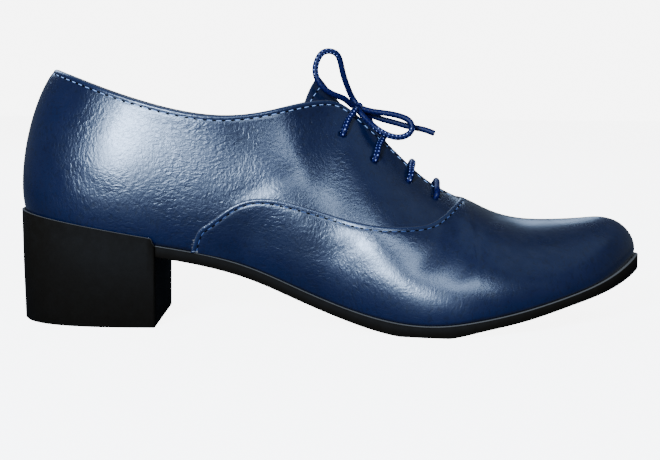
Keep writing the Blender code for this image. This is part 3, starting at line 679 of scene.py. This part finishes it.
# %% Lining
form = bmesh.new()
places = columns(0.0, TOE, 6)
for side in (-1, 1):
    lay_panel(form, side, places, 36, np.zeros(len(places)), np.full(len(places), 0.975),
              collar_line, lambda points, distance: np.full(len(points), -0.0012))
bmesh.ops.remove_doubles(form, verts=form.verts[:], dist=2e-6)
lining = finished("lining", form, "tan_leather")
print("lining has", len(lining.data.polygons), "faces")
thickened(lining, LINING_LEATHER)


# %% [markdown]
# ## Sole, heel and footbed
#
# All three are cut to the foot line. Each starts as a grid across the shoe, whose points
# know their place along the foot line and their share of the way across. The grid is
# extruded from level to level, and each level has its own distance from the foot line
# and its own height, so the sole's edge and the heel's rim follow the last exactly.

# %% Level maker
def place_at(x):
    return float(found(lambda u: side_values(-1, u)[0, 0] - x, KNOTS[2], KNOTS[10]))


def level_points(u, share, offset, height):
    """Points across the shoe at a distance outside the foot line and a height."""
    sides = [foot_points(side, u) + outward(side, u) * offset(u)[:, None] for side in (-1, 1)]
    points = sides[0] + (sides[1] - sides[0]) * share[:, None]
    points[:, 2] = height(points[:, 0])
    return points


def stacked(form, places, across, levels, flat_end=None):
    """A grid across the shoe, extruded through levels of (offset, height)."""
    know_u = form.verts.layers.float.new("place")
    know_share = form.verts.layers.float.new("share")
    know_level = form.verts.layers.float.new("level")
    bmesh.ops.create_grid(form, x_segments=len(places) - 1, y_segments=across, size=0.5)
    for vertex in form.verts:
        vertex[know_u] = places[int(round((vertex.co.x + 0.5) * (len(places) - 1)))]
        vertex[know_share] = vertex.co.y + 0.5
    skin = form.faces[:]
    moved = form.verts[:]
    for number, (offset, height) in enumerate(levels):
        if number:
            grown = bmesh.ops.extrude_face_region(form, geom=skin)["geom"]
            if number > 1:
                bmesh.ops.delete(form, geom=skin, context="FACES")
            skin = [item for item in grown if isinstance(item, bmesh.types.BMFace)]
            moved = [item for item in grown if isinstance(item, bmesh.types.BMVert)]
        u = np.array([vertex[know_u] for vertex in moved])
        share = np.array([vertex[know_share] for vertex in moved])
        points = level_points(u, share, offset, height)
        if flat_end is not None:
            points[u > places[-1] - 1e-6, 0] = flat_end
        for vertex, point in zip(moved, points):
            vertex.co = point
            vertex[know_level] = number
    bmesh.ops.remove_doubles(form, verts=form.verts[:], dist=2e-6)
    bmesh.ops.recalc_face_normals(form, faces=form.faces[:])


def constant(value):
    return lambda u: np.full(len(u), value)


# %% Outsole
RIM_INNER = 0.0012
SOLE_LEDGE = 0.0016
BREAST_X = HEEL_BACK + 0.2257 * LENGTH
form = bmesh.new()
narrow_end, wide_start = place_at(BREAST_X + FOOT_GAP), place_at(BREAST_X + 2 * FOOT_GAP)
places = columns(0.0, TOE, 8)
places = np.concatenate((places[places < narrow_end - 0.001], (narrow_end, wide_start),
                         places[places > wide_start + 0.001]))


def sole_ledge(u):
    """As wide as a feather edge under the heel's rim, and widest round the toe."""
    toe = np.clip((u - KNOTS[-6]) / (TOE - KNOTS[-6]), 0.0, 1.0)
    return np.where(u < wide_start - 1e-9, RIM_INNER - FOOT_GAP, SOLE_LEDGE + 0.0007 * toe * toe)


stacked(form, places, 8, (
    (lambda u: sole_ledge(u) - 0.0006, sole_bottom),
    (sole_ledge, lambda x: sole_bottom(x) + 0.0006),
    (sole_ledge, lambda x: sole_top(x) - 0.0004),
    (lambda u: sole_ledge(u) - 0.0004, sole_top),
))
outsole = finished("sole", form, "black_rubber", "outsole")

# %% Heel
HEEL_LEDGE = 0.0026
RIM_HEIGHT = 0.0030
RIM_SLANT = 0.0013
form = bmesh.new()
last_place, slant_place = place_at(BREAST_X), place_at(BREAST_X - RIM_SLANT)
places = columns(0.0, last_place, 8)
places = np.concatenate((places[places < slant_place - 0.001],
                         (slant_place, (slant_place + last_place) / 2, last_place)))


def rim_top(x):
    """Upper edge of the heel's rim, which slants down to the sole at its front end."""
    return sole_top(x) + RIM_HEIGHT * np.clip((BREAST_X - x) / RIM_SLANT, 0.10, 1.0)


stacked(form, places, 8, (
    (constant(HEEL_LEDGE - 0.0015), lambda x: 0.0 * x),
    (constant(HEEL_LEDGE - 0.0009), lambda x: 0.0 * x + 0.0006),
    (constant(HEEL_LEDGE - 0.0003), lambda x: sole_bottom(x) * 0.6),
    (constant(HEEL_LEDGE), lambda x: rim_top(x) - 0.0003),
    (constant(HEEL_LEDGE - 0.0004), rim_top),
    (constant(RIM_INNER), rim_top),
    (constant(RIM_INNER), lambda x: sole_bottom(x) - FOOT_GAP),
), flat_end=BREAST_X)
heel = finished("heel_block", form, "black_rubber", "heel")

# %% Footbed
form = bmesh.new()
stacked(form, columns(0.0, TOE, 6), 8, (
    (constant(-WALL - 0.0006), lambda x: sole_top(x) + FOOT_GAP),
    (constant(-WALL - 0.0006), lambda x: sole_top(x) + FOOT_GAP + 0.0016),
    (constant(-WALL - 0.0010), lambda x: sole_top(x) + FOOT_GAP + 0.0020),
))
footbed = finished("footbed", form, "tan_leather", "insole")
for piece in (outsole, heel, footbed):
    print(piece.name, "is", [round(side * 1000, 1) for side in piece.dimensions], "mm")


# %% [markdown]
# ## Tongue
#
# The tongue is an arched leaf under the facings. Each row of the table gives its middle,
# on the line between the facings or above them, its half width, how far its sides drop
# around the foot and how far its corners sag. Its edge is hidden under the facings and
# the lace, so it counts as far from any edge, and gets neither the painted edge
# highlight nor the raw cut edge.

# %% Tongue
LEAVES = (
    (0.757, 0.00, 0.100, 0.020, 0.000), (0.715, 0.00, 0.140, 0.054, 0.000),
    (0.670, 0.00, 0.165, 0.095, 0.000), (0.625, 0.00, 0.175, 0.135, 0.000),
    (0.580, 0.00, 0.180, 0.165, 0.000), (0.537, 0.00, 0.175, 0.175, 0.000),
    (0.537, 0.35, 0.160, 0.170, 0.010), (0.537, 0.70, 0.145, 0.155, 0.035),
    (0.537, 1.00, 0.125, 0.130, 0.065),
)
TONGUE_RISE = 0.0222
FAR_FROM_EDGE = 0.010
TONGUE_LEAN = np.array((-0.62, 0.0, 0.78)) / np.hypot(0.62, 0.78)


def leaf_frame(along, rise, *widths):
    """Middle of one row, with its directions up the tongue and out of it."""
    u = facing_place(along)
    behind, here, ahead = side_values(-1, np.array((u - 1e-4, u, u + 1e-4)))
    climb = np.array((behind[2] - ahead[2], 0.0, behind[3] - ahead[3]))
    climb /= np.linalg.norm(climb)
    middle = np.array((here[2], here[4] + AXIS_Y, here[3]))
    middle = middle - np.array((climb[2], 0.0, -climb[0])) * 0.0027
    if rise > 0:
        climb = TONGUE_LEAN
        middle = middle + climb * rise * TONGUE_RISE
    return np.concatenate((middle, climb, (climb[2], 0.0, -climb[0]),
                           np.array(widths) * BALL_WIDTH))


leaf_rows = np.array([leaf_frame(*row) for row in LEAVES])
leaf_spline = Spline(walked(leaf_rows[:, :3]), leaf_rows)


def tongue_points(along, share):
    """Points of the tongue: share is -1 at its outer edge and 1 at its inner one."""
    values = leaf_spline(along * leaf_spline.places[-1])
    middle, climb, out = values[:, :3], values[:, 3:6], values[:, 6:9]
    half, drop, sag = (values[:, k] for k in (9, 10, 11))
    arch = (np.hypot(share, 0.35) - 0.35) / (np.hypot(1.0, 0.35) - 0.35)
    points = middle - out * (drop * arch)[:, None] - climb * (sag * share ** 2)[:, None]
    points[:, 1] += half * np.where(share < 0, share, share * 0.86)
    return points


form = bmesh.new()
made = bmesh.ops.create_grid(form, x_segments=28, y_segments=70, size=0.5)["verts"]
square = np.array([vertex.co for vertex in made]) + 0.5
for vertex, point in zip(made, tongue_points(square[:, 1], square[:, 0] * 2 - 1)):
    vertex.co = point
form.normal_update()
tongue_tree = BVHTree.FromBMesh(form)
tongue = finished("tongue_leaf", form, "navy_leather", "tongue")
from_edge = tongue.data.attributes.new("from_edge", "FLOAT", "POINT")
for value in from_edge.data:
    value.value = FAR_FROM_EDGE
thickened(tongue, TONGUE_LEATHER)
print("tongue is", round(float(leaf_spline.places[-1]) * 1000), "mm long")


# %% [markdown]
# ## Punched eyelets
#
# The lace holes are plain punched holes with no metal. A cutter with eight pins, square
# to the facings, is taken away from the quarters and the lining with a Boolean, and the
# result becomes their mesh.

# %% Punch the eyelets
PUNCH = LACE + 0.0002


def settled(piece):
    """The piece's modifiers become its mesh."""
    seen = piece.evaluated_get(bpy.context.evaluated_depsgraph_get())
    mesh = bpy.data.meshes.new_from_object(seen, preserve_all_data_layers=True,
                                           depsgraph=bpy.context.evaluated_depsgraph_get())
    piece.modifiers.clear()
    piece.data = mesh
    mesh.name = piece.name


form = bmesh.new()
for side in (-1, 1):
    for u, t in holes[side]:
        middle, normal = last_points(side, [u], [t])[0], Vector(last_normals(side, [u], [t])[0])
        stand = normal.to_track_quat("Z", "Y").to_matrix().to_4x4()
        stand.translation = Vector(middle)
        bmesh.ops.create_cone(form, cap_ends=True, segments=20, radius1=PUNCH / 2,
                              radius2=PUNCH / 2, depth=WALL * 4, matrix=stand)
punch = in_scene("punch", mesh_of("punch", form))
for piece in (quarters, lining):
    cut = piece.modifiers.new("eyelets", "BOOLEAN")
    cut.operation = "DIFFERENCE"
    cut.solver = "EXACT"
    cut.object = punch
    settled(piece)
bpy.data.objects.remove(punch, do_unlink=True)
print("quarters have", len(quarters.data.polygons), "faces with their holes")


# %% [markdown]
# ## Seams
#
# Every seam is a lockstitch, seen as a short thread, then a dark blob of painted shade where
# the thread dives into its needle hole. The vamp's threads are a darker copy of the bright
# thread, which is painted shade too. One stitch is a small stretched sphere of a few dozen
# faces. A row of them is set along a line two millimetres inside the panel's edge, each
# turned to the leather under it, and all the threads of one seam are one mesh. Towards the
# throat the seam of the facings runs deeper, because there the lace pulls hardest.

# %% Seam maker
PITCH = 0.0037
THREAD_LENGTH, HOLE_SHADE_LENGTH, HOLE_SHADE_WIDTH = 0.0024, 0.0017, 0.00068
THIN_THREAD, THICK_THREAD = 0.00034, 0.00040


def inset_line(line, inward, inset):
    """The line moved sideways over the surface, towards the inside of the panel."""
    return line + inward / np.linalg.norm(inward, axis=1)[:, None] * inset


def stitched(name, line, tree, thread_width):
    """Threads and the painted shade of their needle holes, on a line over a surface, as two meshes.
    """
    walk = walked(line)
    count = int(round(walk[-1] / PITCH))
    step = walk[-1] / count
    pieces = []
    for kind, shift, length, width, height, sink in (
            ("thread", 0.5, THREAD_LENGTH, thread_width, 0.00036, 0.00004),
            # The holes are dark blobs of painted shade where the thread dives into the leather.
            ("holes", 1.0, HOLE_SHADE_LENGTH, HOLE_SHADE_WIDTH, 0.00030, 0.00002)):
        form = bmesh.new()
        for number in range(count):
            here = (number + shift) * step
            at, ahead = (np.array([np.interp(here + more, walk, line[:, k]) for k in range(3)])
                         for more in (0.0, 0.0004))
            place, normal = tree.find_nearest(Vector(at))[:2]
            if normal.dot(place - Vector((place.x, AXIS_Y, 0.03))) < 0:
                normal = -normal
            along = Vector(ahead - at)
            if along.length < 1e-6:
                along = Vector(at) - Vector(line[-3])
            along = (along - normal * along.dot(normal)).normalized()
            across = normal.cross(along)
            stand = Matrix((along, across, normal)).transposed().to_4x4()
            stand.translation = place - normal * sink
            size = Matrix.Diagonal((length, width, height, 1.0))
            bmesh.ops.create_uvsphere(form, u_segments=8, v_segments=5, radius=0.5,
                                      matrix=stand @ size)
        pieces.append(finished(name + "_" + kind, form, "navy_cord"))
    print(name, "has", count, "stitches over", round(float(walk[-1]) * 1000), "mm")
    return pieces


# %% Collar and facing seam
downs = [last_points(side, top_places, 0.93) - last_points(side, top_places, 1.0)
         for side in (-1, 1)]
down = np.concatenate((downs[0][::-1], downs[1][1:]))
ahead = np.gradient(collar_line, axis=0)
ahead /= np.linalg.norm(ahead, axis=1)[:, None]
inward = down - ahead * np.sum(down * ahead, axis=1)[:, None]
deeper = np.interp(top_places, (facing_place(0.61), THROAT_AT), (1.0, 1.9))
inset = SEAM_INSET * np.concatenate((deeper[::-1], deeper[1:]))[:, None]
collar_seam = inset_line(collar_line, inward, inset)[3:-3]
collar_stitches = stitched("collar_seam", collar_seam, quarter_tree, THIN_THREAD)

# %% Vamp seam
normals = np.concatenate((last_normals(-1, edge_places, edge_share(-1, edge_places)),
                          last_normals(1, edge_places, edge_share(1, edge_places))[-2::-1]))
ahead = np.gradient(vamp_edge_line, axis=0)
inward = np.cross(ahead, normals)
vamp_seam = inset_line(vamp_edge_line, inward, SEAM_INSET)
vamp_stitches = stitched("vamp_seam", vamp_seam, vamp_tree, THICK_THREAD)

# %% Tongue seam
reach = np.linspace(0.45, 0.962, 60)
side_share = 1.0 - SEAM_INSET * 0.9 / leaf_spline(reach * leaf_spline.places[-1])[:, 9]
tip_share = np.linspace(-side_share[-1], side_share[-1], 14)[1:-1]
tongue_seam = np.concatenate((tongue_points(reach, -side_share),
                              tongue_points(np.full(12, 0.962), tip_share),
                              tongue_points(reach, side_share)[::-1]))
tongue_stitches = stitched("tongue_seam", tongue_seam, tongue_tree, THIN_THREAD)


# %% [markdown]
# ## Finishes
#
# Shared effects are node groups with named inputs and outputs. The calf grain is a
# wrinkled pebble: two stretched noises, one with its wrinkles along the shoe and one
# with them upright, take turns over the surface. It gives a height for the bump and a
# mask of its hollows, where the dye lies darker.

# %% Group maker
def new_group(name, inputs, outputs):
    group = bpy.data.node_groups.new(name, "ShaderNodeTree")
    for label, value in inputs:
        socket = group.interface.new_socket(label, in_out="INPUT", socket_type="NodeSocketFloat")
        socket.default_value = value
    for label, kind in outputs:
        group.interface.new_socket(label, in_out="OUTPUT", socket_type=kind)
    return group, group.nodes.new("NodeGroupInput"), group.nodes.new("NodeGroupOutput")


def worked(tree, operation, a, b=None):
    """A Math node on sockets or numbers, as one output."""
    node = tree.nodes.new("ShaderNodeMath")
    node.operation = operation
    for socket, value in zip(node.inputs, (a, b)):
        if isinstance(value, (int, float)):
            socket.default_value = value
        elif value is not None:
            tree.links.new(value, socket)
    return node.outputs[0]


def ranged(tree, value, low, high, to_low=0.0, to_high=1.0):
    """A smooth Map Range from low to high, as one output."""
    node = tree.nodes.new("ShaderNodeMapRange")
    node.interpolation_type = "SMOOTHSTEP"
    for socket, number in zip(node.inputs[1:5], (low, high, to_low, to_high)):
        socket.default_value = number
    tree.links.new(value, node.inputs[0])
    return node.outputs[0]


def noise(tree, vector, scale, detail=2.0, distortion=0.0):
    node = tree.nodes.new("ShaderNodeTexNoise")
    node.inputs["Scale"].default_value = scale
    node.inputs["Detail"].default_value = detail
    node.inputs["Distortion"].default_value = distortion
    tree.links.new(vector, node.inputs["Vector"])
    return node.outputs["Fac"]


def on_piece(tree):
    """Places on the piece itself, in metres."""
    return tree.nodes.new("ShaderNodeTexCoord").outputs["Object"]


def stored(tree, name):
    """A value that was stored with the piece's points."""
    node = tree.nodes.new("ShaderNodeAttribute")
    node.attribute_name = name
    return node.outputs["Fac"]


def stretched(tree, vector, scale):
    node = tree.nodes.new("ShaderNodeMapping")
    node.inputs["Scale"].default_value = scale
    tree.links.new(vector, node.inputs["Vector"])
    return node.outputs["Vector"]


# %% Calf grain
grain, given, wanted = new_group("calf_grain", [("Fineness", 1.0)],
                                 [("Height", "NodeSocketFloat"), ("Hollows", "NodeSocketFloat")])
where = on_piece(grain)
scaled = grain.nodes.new("ShaderNodeVectorMath")
scaled.operation = "SCALE"
grain.links.new(where, scaled.inputs[0])
grain.links.new(given.outputs["Fineness"], scaled.inputs["Scale"])
where = scaled.outputs[0]
lying = noise(grain, stretched(grain, where, (0.70, 0.9, 1.20)), 700, 2.0, 0.7)
upright = noise(grain, stretched(grain, where, (1.20, 0.9, 0.70)), 700, 2.0, 0.7)
turns = ranged(grain, noise(grain, where, 45, 1.0), 0.42, 0.58)
blend = grain.nodes.new("ShaderNodeMix")
grain.links.new(turns, blend.inputs[0])
grain.links.new(lying, blend.inputs[2])
grain.links.new(upright, blend.inputs[3])
pores = noise(grain, where, 2600, 1.0)
grain.links.new(worked(grain, "ADD", blend.outputs[0], worked(grain, "MULTIPLY", pores, 0.10)),
                wanted.inputs["Height"])
grain.links.new(ranged(grain, blend.outputs[0], 0.50, 0.34), wanted.inputs["Hollows"])
print("calf grain has", len(grain.nodes), "nodes")

# %% Dust, thickest on what looks up
dust, given, wanted = new_group("dust", [("Amount", 0.05)], [("Mask", "NodeSocketFloat")])
facing = dust.nodes.new("ShaderNodeNewGeometry").outputs["Normal"]
parted = dust.nodes.new("ShaderNodeSeparateXYZ")
dust.links.new(facing, parted.inputs[0])
where = on_piece(dust)
cloud = ranged(dust, noise(dust, where, 260, 4.0), 0.35, 0.75)
lying = ranged(dust, parted.outputs["Z"], 0.0, 1.0, 0.25, 1.0)
settles = worked(dust, "MULTIPLY", cloud, lying)
dust.links.new(worked(dust, "MULTIPLY", settles, given.outputs["Amount"]), wanted.inputs["Mask"])

# %% Edge mask, for the painted edge highlight and the raw cut edge, from each point's distance to its panel's edge
edge_sheen_and_raw, given, wanted = new_group("edge_sheen_and_raw", [("Width", 0.0015)],
                                     [("Mask", "NodeSocketFloat")])
near = worked(edge_sheen_and_raw, "DIVIDE", stored(edge_sheen_and_raw, "from_edge"), given.outputs["Width"])
where = on_piece(edge_sheen_and_raw)
patchy = ranged(edge_sheen_and_raw, noise(edge_sheen_and_raw, where, 500, 3.0), 0.2, 0.8, 0.6, 1.0)
edge_sheen_and_raw.links.new(worked(edge_sheen_and_raw, "MULTIPLY", ranged(edge_sheen_and_raw, near, 1.0, 0.2), patchy),
                    wanted.inputs["Mask"])


# %% Finish maker
def finish(name, roughness, coat=0.0, coat_roughness=0.2, specular=0.5, sheen=0.0):
    """A new material, with its constants set on the shader's own sockets."""
    made = bpy.data.materials.new(name)
    made.use_nodes = True
    shader = made.node_tree.nodes["Principled BSDF"]
    for label, value in (("Roughness", roughness), ("Coat Weight", coat), ("Sheen Weight", sheen),
                         ("Coat Roughness", coat_roughness), ("Specular IOR Level", specular)):
        shader.inputs[label].default_value = value
    return made, made.node_tree, shader


def dyed(tree, shader, colour):
    tree.links.new(colour, shader.inputs["Base Color"])


def placed(tree, group, **values):
    node = tree.nodes.new("ShaderNodeGroup")
    node.node_tree = group
    for label, value in values.items():
        node.inputs[label].default_value = value
    return node


def coloured(tree, factor, first, second):
    """A colour between two, each a colour or a socket."""
    node = tree.nodes.new("ShaderNodeMix")
    node.data_type = "RGBA"
    tree.links.new(factor, node.inputs[0])
    for socket, value in ((node.inputs[6], first), (node.inputs[7], second)):
        if isinstance(value, tuple):
            socket.default_value = (*value, 1.0)
        else:
            tree.links.new(value, socket)
    return node.outputs[2]


def bumped(tree, shader, height, depth, strength=1.0):
    node = tree.nodes.new("ShaderNodeBump")
    node.inputs["Distance"].default_value = depth
    if isinstance(strength, float):
        node.inputs["Strength"].default_value = strength
    else:
        tree.links.new(strength, node.inputs["Strength"])
    tree.links.new(height, node.inputs["Height"])
    tree.links.new(node.outputs["Normal"], shader.inputs["Normal"])


# %% [markdown]
# The calf is dyed navy and darker in its hollows. Along the edges a lighter band is
# painted highlight, where the rolled edge catches the light, and raw leather shows in the
# last half millimetre. Over the ball and the toe it is pulled tight on the last, so its
# grain lies flatter there.

# %% Navy calf
navy, tree, shader = finish("navy_calf", 0.30, coat=0.22, coat_roughness=0.20, specular=0.42)
calf = placed(tree, grain, Fineness=1.0)
where = on_piece(tree)
clouds = ranged(tree, noise(tree, where, 30, 2.0), 0.3, 0.7)
colour = coloured(tree, clouds, (0.0014, 0.0034, 0.0155), (0.0020, 0.0047, 0.0205))
colour = coloured(tree, worked(tree, "MULTIPLY", calf.outputs["Hollows"], 0.5), colour,
                  (0.0007, 0.0018, 0.0082))
# Painted highlight: a lighter band along each panel's edge, where the rolled edge catches the
# light.
edge_sheen = placed(tree, edge_sheen_and_raw, Width=0.0017)
colour = coloured(tree, worked(tree, "MULTIPLY", edge_sheen.outputs["Mask"], 0.5), colour,
                  (0.009, 0.020, 0.055))
raw = placed(tree, edge_sheen_and_raw, Width=0.00045)
colour = coloured(tree, worked(tree, "MULTIPLY", raw.outputs["Mask"], 0.75), colour,
                  (0.070, 0.060, 0.052))
specks = placed(tree, dust, Amount=0.010)
colour = coloured(tree, specks.outputs["Mask"], colour, (0.30, 0.30, 0.30))
dyed(tree, shader, colour)
polish = ranged(tree, noise(tree, where, 90, 3.0), 0.3, 0.7, 0.27, 0.33)
tree.links.new(polish, shader.inputs["Roughness"])
parted = tree.nodes.new("ShaderNodeSeparateXYZ")
tree.links.new(where, parted.inputs[0])
bumped(tree, shader, calf.outputs["Height"], 0.00030,
       ranged(tree, parted.outputs["X"], -0.010, 0.060, 0.55, 0.22))

# %% Cut edge of the leather
cut_edge, tree, shader = finish("cut_edge", 0.8, specular=0.15)
where = on_piece(tree)
fibres = noise(tree, stretched(tree, where, (0.4, 0.4, 1.6)), 1500, 3.0)
colour = coloured(tree, fibres, (0.070, 0.060, 0.055), (0.130, 0.112, 0.100))
dyed(tree, shader, colour)
bumped(tree, shader, fibres, 0.0001)

# %% Lining and footbed
lining_finish, tree, shader = finish("tan_lining", 0.62, specular=0.3, sheen=0.1)
calf = placed(tree, grain, Fineness=1.6)
where = on_piece(tree)
colour = coloured(tree, ranged(tree, noise(tree, where, 40, 3.0), 0.3, 0.7), (0.33, 0.22, 0.13),
                  (0.42, 0.29, 0.175))
colour = coloured(tree, worked(tree, "MULTIPLY", calf.outputs["Hollows"], 0.5), colour,
                  (0.20, 0.125, 0.07))
dyed(tree, shader, colour)
bumped(tree, shader, calf.outputs["Height"], 0.00012)

# %% Threads, a darker painted-shade copy of them for the vamp, and painted shade at the needle holes
def thread_finish(name, roughness, specular, sheen, dark, light):
    """Twisted thread, its plies lighter and darker by turns."""
    made, tree, shader = finish(name, roughness, specular=specular, sheen=sheen)
    ply = noise(tree, on_piece(tree), 4000, 1.0)
    dyed(tree, shader, coloured(tree, ply, dark, light))
    bumped(tree, shader, ply, 0.00005)
    return made


bright_thread = thread_finish("bright_thread", 0.55, 0.4, 0.3,
                              (0.20, 0.29, 0.47), (0.38, 0.49, 0.70))
# Painted shade: the vamp's seam uses the same thread as the collar, given darker colours because it
# lies in less light.
shaded_thread_copy = thread_finish("shaded_thread_copy", 0.6, 0.35, 0.2,
                            (0.014, 0.034, 0.095), (0.030, 0.062, 0.150))

# Painted shade: dark blobs stand for the shade inside the needle holes.
needle_hole_shade, tree, shader = finish("needle_hole_shade", 0.9, specular=0.05)
where = on_piece(tree)
dyed(tree, shader, coloured(tree, noise(tree, where, 3000, 1.0),
                            (0.0008, 0.0009, 0.0012), (0.0020, 0.0020, 0.0026)))

# %% [markdown]
# The braid reads the cord's own map. Two sets of slanting strands cross, and the higher
# one shows. Where the cord catches the light, pale dots in pairs across it are painted
# glints, and the attribute that was stored with the cord says where that is.

# %% Navy braid
cord_finish, tree, shader = finish("navy_braid", 0.45, specular=0.14)
parted = tree.nodes.new("ShaderNodeSeparateXYZ")
tree.links.new(tree.nodes.new("ShaderNodeTexCoord").outputs["UV"], parted.inputs[0])
along, around = parted.outputs["X"], parted.outputs["Y"]


def strands(slant):
    phase = worked(tree, "ADD", worked(tree, "MULTIPLY", along, 1.45),
                   worked(tree, "MULTIPLY", around, slant))
    return worked(tree, "ABSOLUTE", worked(tree, "SINE", worked(tree, "MULTIPLY", phase, pi)))


def dots(value, count, low, high):
    """Soft dots, count of them for each unit of the value."""
    wave = worked(tree, "COSINE", worked(tree, "MULTIPLY", value, 2 * pi * count))
    return ranged(tree, wave, low, high)


weave = worked(tree, "MAXIMUM", strands(4.0), strands(-4.0))
# Painted glints: pale dots in pairs, only where the stored attribute says the cord catches the
# light.
painted_glints = worked(tree, "MULTIPLY", dots(along, 1.56, 0.55, 0.95), dots(around, 5.0, 0.50, 0.95))
painted_glints = worked(tree, "MULTIPLY", painted_glints, stored(tree, "painted_glints"))
colour = coloured(tree, ranged(tree, weave, 0.60, 0.97),
                  (0.0006, 0.0010, 0.0160), (0.0010, 0.0022, 0.0350))
colour = coloured(tree, painted_glints, colour, (0.36, 0.40, 0.68))
dyed(tree, shader, colour)
bumped(tree, shader, weave, 0.00005)

# %% [markdown]
# Sole and heel are one plain black. The level that each point was extruded at tells the
# finish where the ledge is, which gets a pale line of painted highlight, and where the
# underside is, which has fine ribs for grip. Last, every piece gets its own finish.

# %% Black sole and heel, with a painted highlight along the ledge
def sole_finish(name, highlight_from, rib_scale):
    made, tree, shader = finish(name, 0.65, specular=0.03)
    level = stored(tree, "level")
    where = on_piece(tree)
    mottle = noise(tree, where, 900, 3.0)
    colour = coloured(tree, mottle, (0.0040, 0.0027, 0.0016), (0.0062, 0.0043, 0.0026))
    # Painted highlight: a pale line along the top of the ledge, where its edge catches the light.
    ledge_highlight = ranged(tree, level, highlight_from, highlight_from + 0.3)
    colour = coloured(tree, ledge_highlight, colour, (0.085, 0.072, 0.060))
    specks = placed(tree, dust, Amount=0.010)
    colour = coloured(tree, specks.outputs["Mask"], colour, (0.25, 0.24, 0.23))
    dyed(tree, shader, colour)
    ribs = tree.nodes.new("ShaderNodeTexWave")
    ribs.inputs["Scale"].default_value = rib_scale
    tree.links.new(where, ribs.inputs["Vector"])
    under = ranged(tree, level, 0.6, 0.1)
    height = worked(tree, "ADD", worked(tree, "MULTIPLY", mottle, 0.15),
                  worked(tree, "MULTIPLY", ribs.outputs["Fac"], under))
    bumped(tree, shader, height, 0.0002)
    return made


sole_black = sole_finish("black_sole", 2.7, 90)
heel_black = sole_finish("black_heel", 3.5, 120)

# %% Each piece gets its finish
for piece, finishes in (
        (vamp, (navy, cut_edge)), (quarters, (navy,)), (tongue, (navy,)),
        (lining, (lining_finish,)), (footbed, (lining_finish,)),
        (outsole, (sole_black,)), (heel, (heel_black,)),
        (collar_stitches[0], (bright_thread,)), (tongue_stitches[0], (bright_thread,)),
        (vamp_stitches[0], (shaded_thread_copy,)), (collar_stitches[1], (needle_hole_shade,)),
        (tongue_stitches[1], (needle_hole_shade,)), (vamp_stitches[1], (needle_hole_shade,)),
        *((piece, (cord_finish,)) for piece in laces)):
    piece.data.materials.clear()
    for made in finishes:
        piece.data.materials.append(made)

# %% [markdown]
# ## Studio
#
# The floor and the sky show as bright white, but light the shoe only a little, so the
# black sole stays black. Five softboxes make the sheen: a small one for the bright spot
# on the heel's side of the quarters, a wide one above the vamp, a weak one before the
# toe, and two from behind.

# %% Floor
FLOOR_GLOW, SKY_GLOW, SKY_LIGHT = 6.2, 6.6, 0.20
form = bmesh.new()
bmesh.ops.create_grid(form, x_segments=1, y_segments=1, size=3.0)
floor = in_scene("floor", mesh_of("floor", form))
floor_paint, tree, shader = finish("floor_paint", 0.8, specular=0.1)
seen = tree.nodes.new("ShaderNodeLightPath").outputs["Is Camera Ray"]
where = on_piece(tree)
clouds = coloured(tree, noise(tree, where, 3.0), (0.52, 0.52, 0.52), (0.54, 0.54, 0.54))
dyed(tree, shader, coloured(tree, seen, (0.09, 0.09, 0.10), clouds))
shader.inputs["Emission Color"].default_value = (1.0, 1.0, 1.0, 1.0)
tree.links.new(worked(tree, "MULTIPLY", seen, FLOOR_GLOW), shader.inputs["Emission Strength"])
floor.data.materials.append(floor_paint)


# %% Softboxes
def softbox(name, direction, climb, distance, size, power):
    """A lamp that looks at the shoe, from an angle round it and an angle above it."""
    lamp = bpy.data.lights.new(name, "AREA")
    lamp.shape = "RECTANGLE"
    lamp.size, lamp.size_y = size
    lamp.energy = power
    lamp.color = (0.50, 0.69, 1.0)
    made = in_scene(name, lamp)
    turn, climb = radians(direction), radians(climb)
    way = Vector((sin(turn) * cos(climb), -cos(turn) * cos(climb), sin(climb)))
    made.location = way * distance + Vector((0.0, 0.0, 0.05))
    made.rotation_euler = way.to_track_quat("Z", "Y").to_euler()


softbox("key", -19, 20, 1.2, (0.22, 0.20), 38)
softbox("wide", 14, 37, 1.2, (0.56, 0.22), 9.5)
softbox("front", 88, 58, 1.5, (0.90, 0.70), 1.0)
softbox("back", 168, 29, 1.3, (0.34, 0.36), 1.6)
softbox("inner_side", 208, 34, 1.5, (0.90, 0.70), 11)

# %% Sky
sky = bpy.data.worlds.new("studio")
bpy.context.scene.world = sky
sky.use_nodes = True
tree = sky.node_tree
background = tree.nodes["Background"]
seen = tree.nodes.new("ShaderNodeLightPath").outputs["Is Camera Ray"]
tree.links.new(worked(tree, "ADD", worked(tree, "MULTIPLY", seen, SKY_GLOW), SKY_LIGHT),
               background.inputs["Strength"])
tree.links.new(coloured(tree, seen, (0.70, 0.85, 1.0), (1.0, 1.0, 1.0)), background.inputs["Color"])
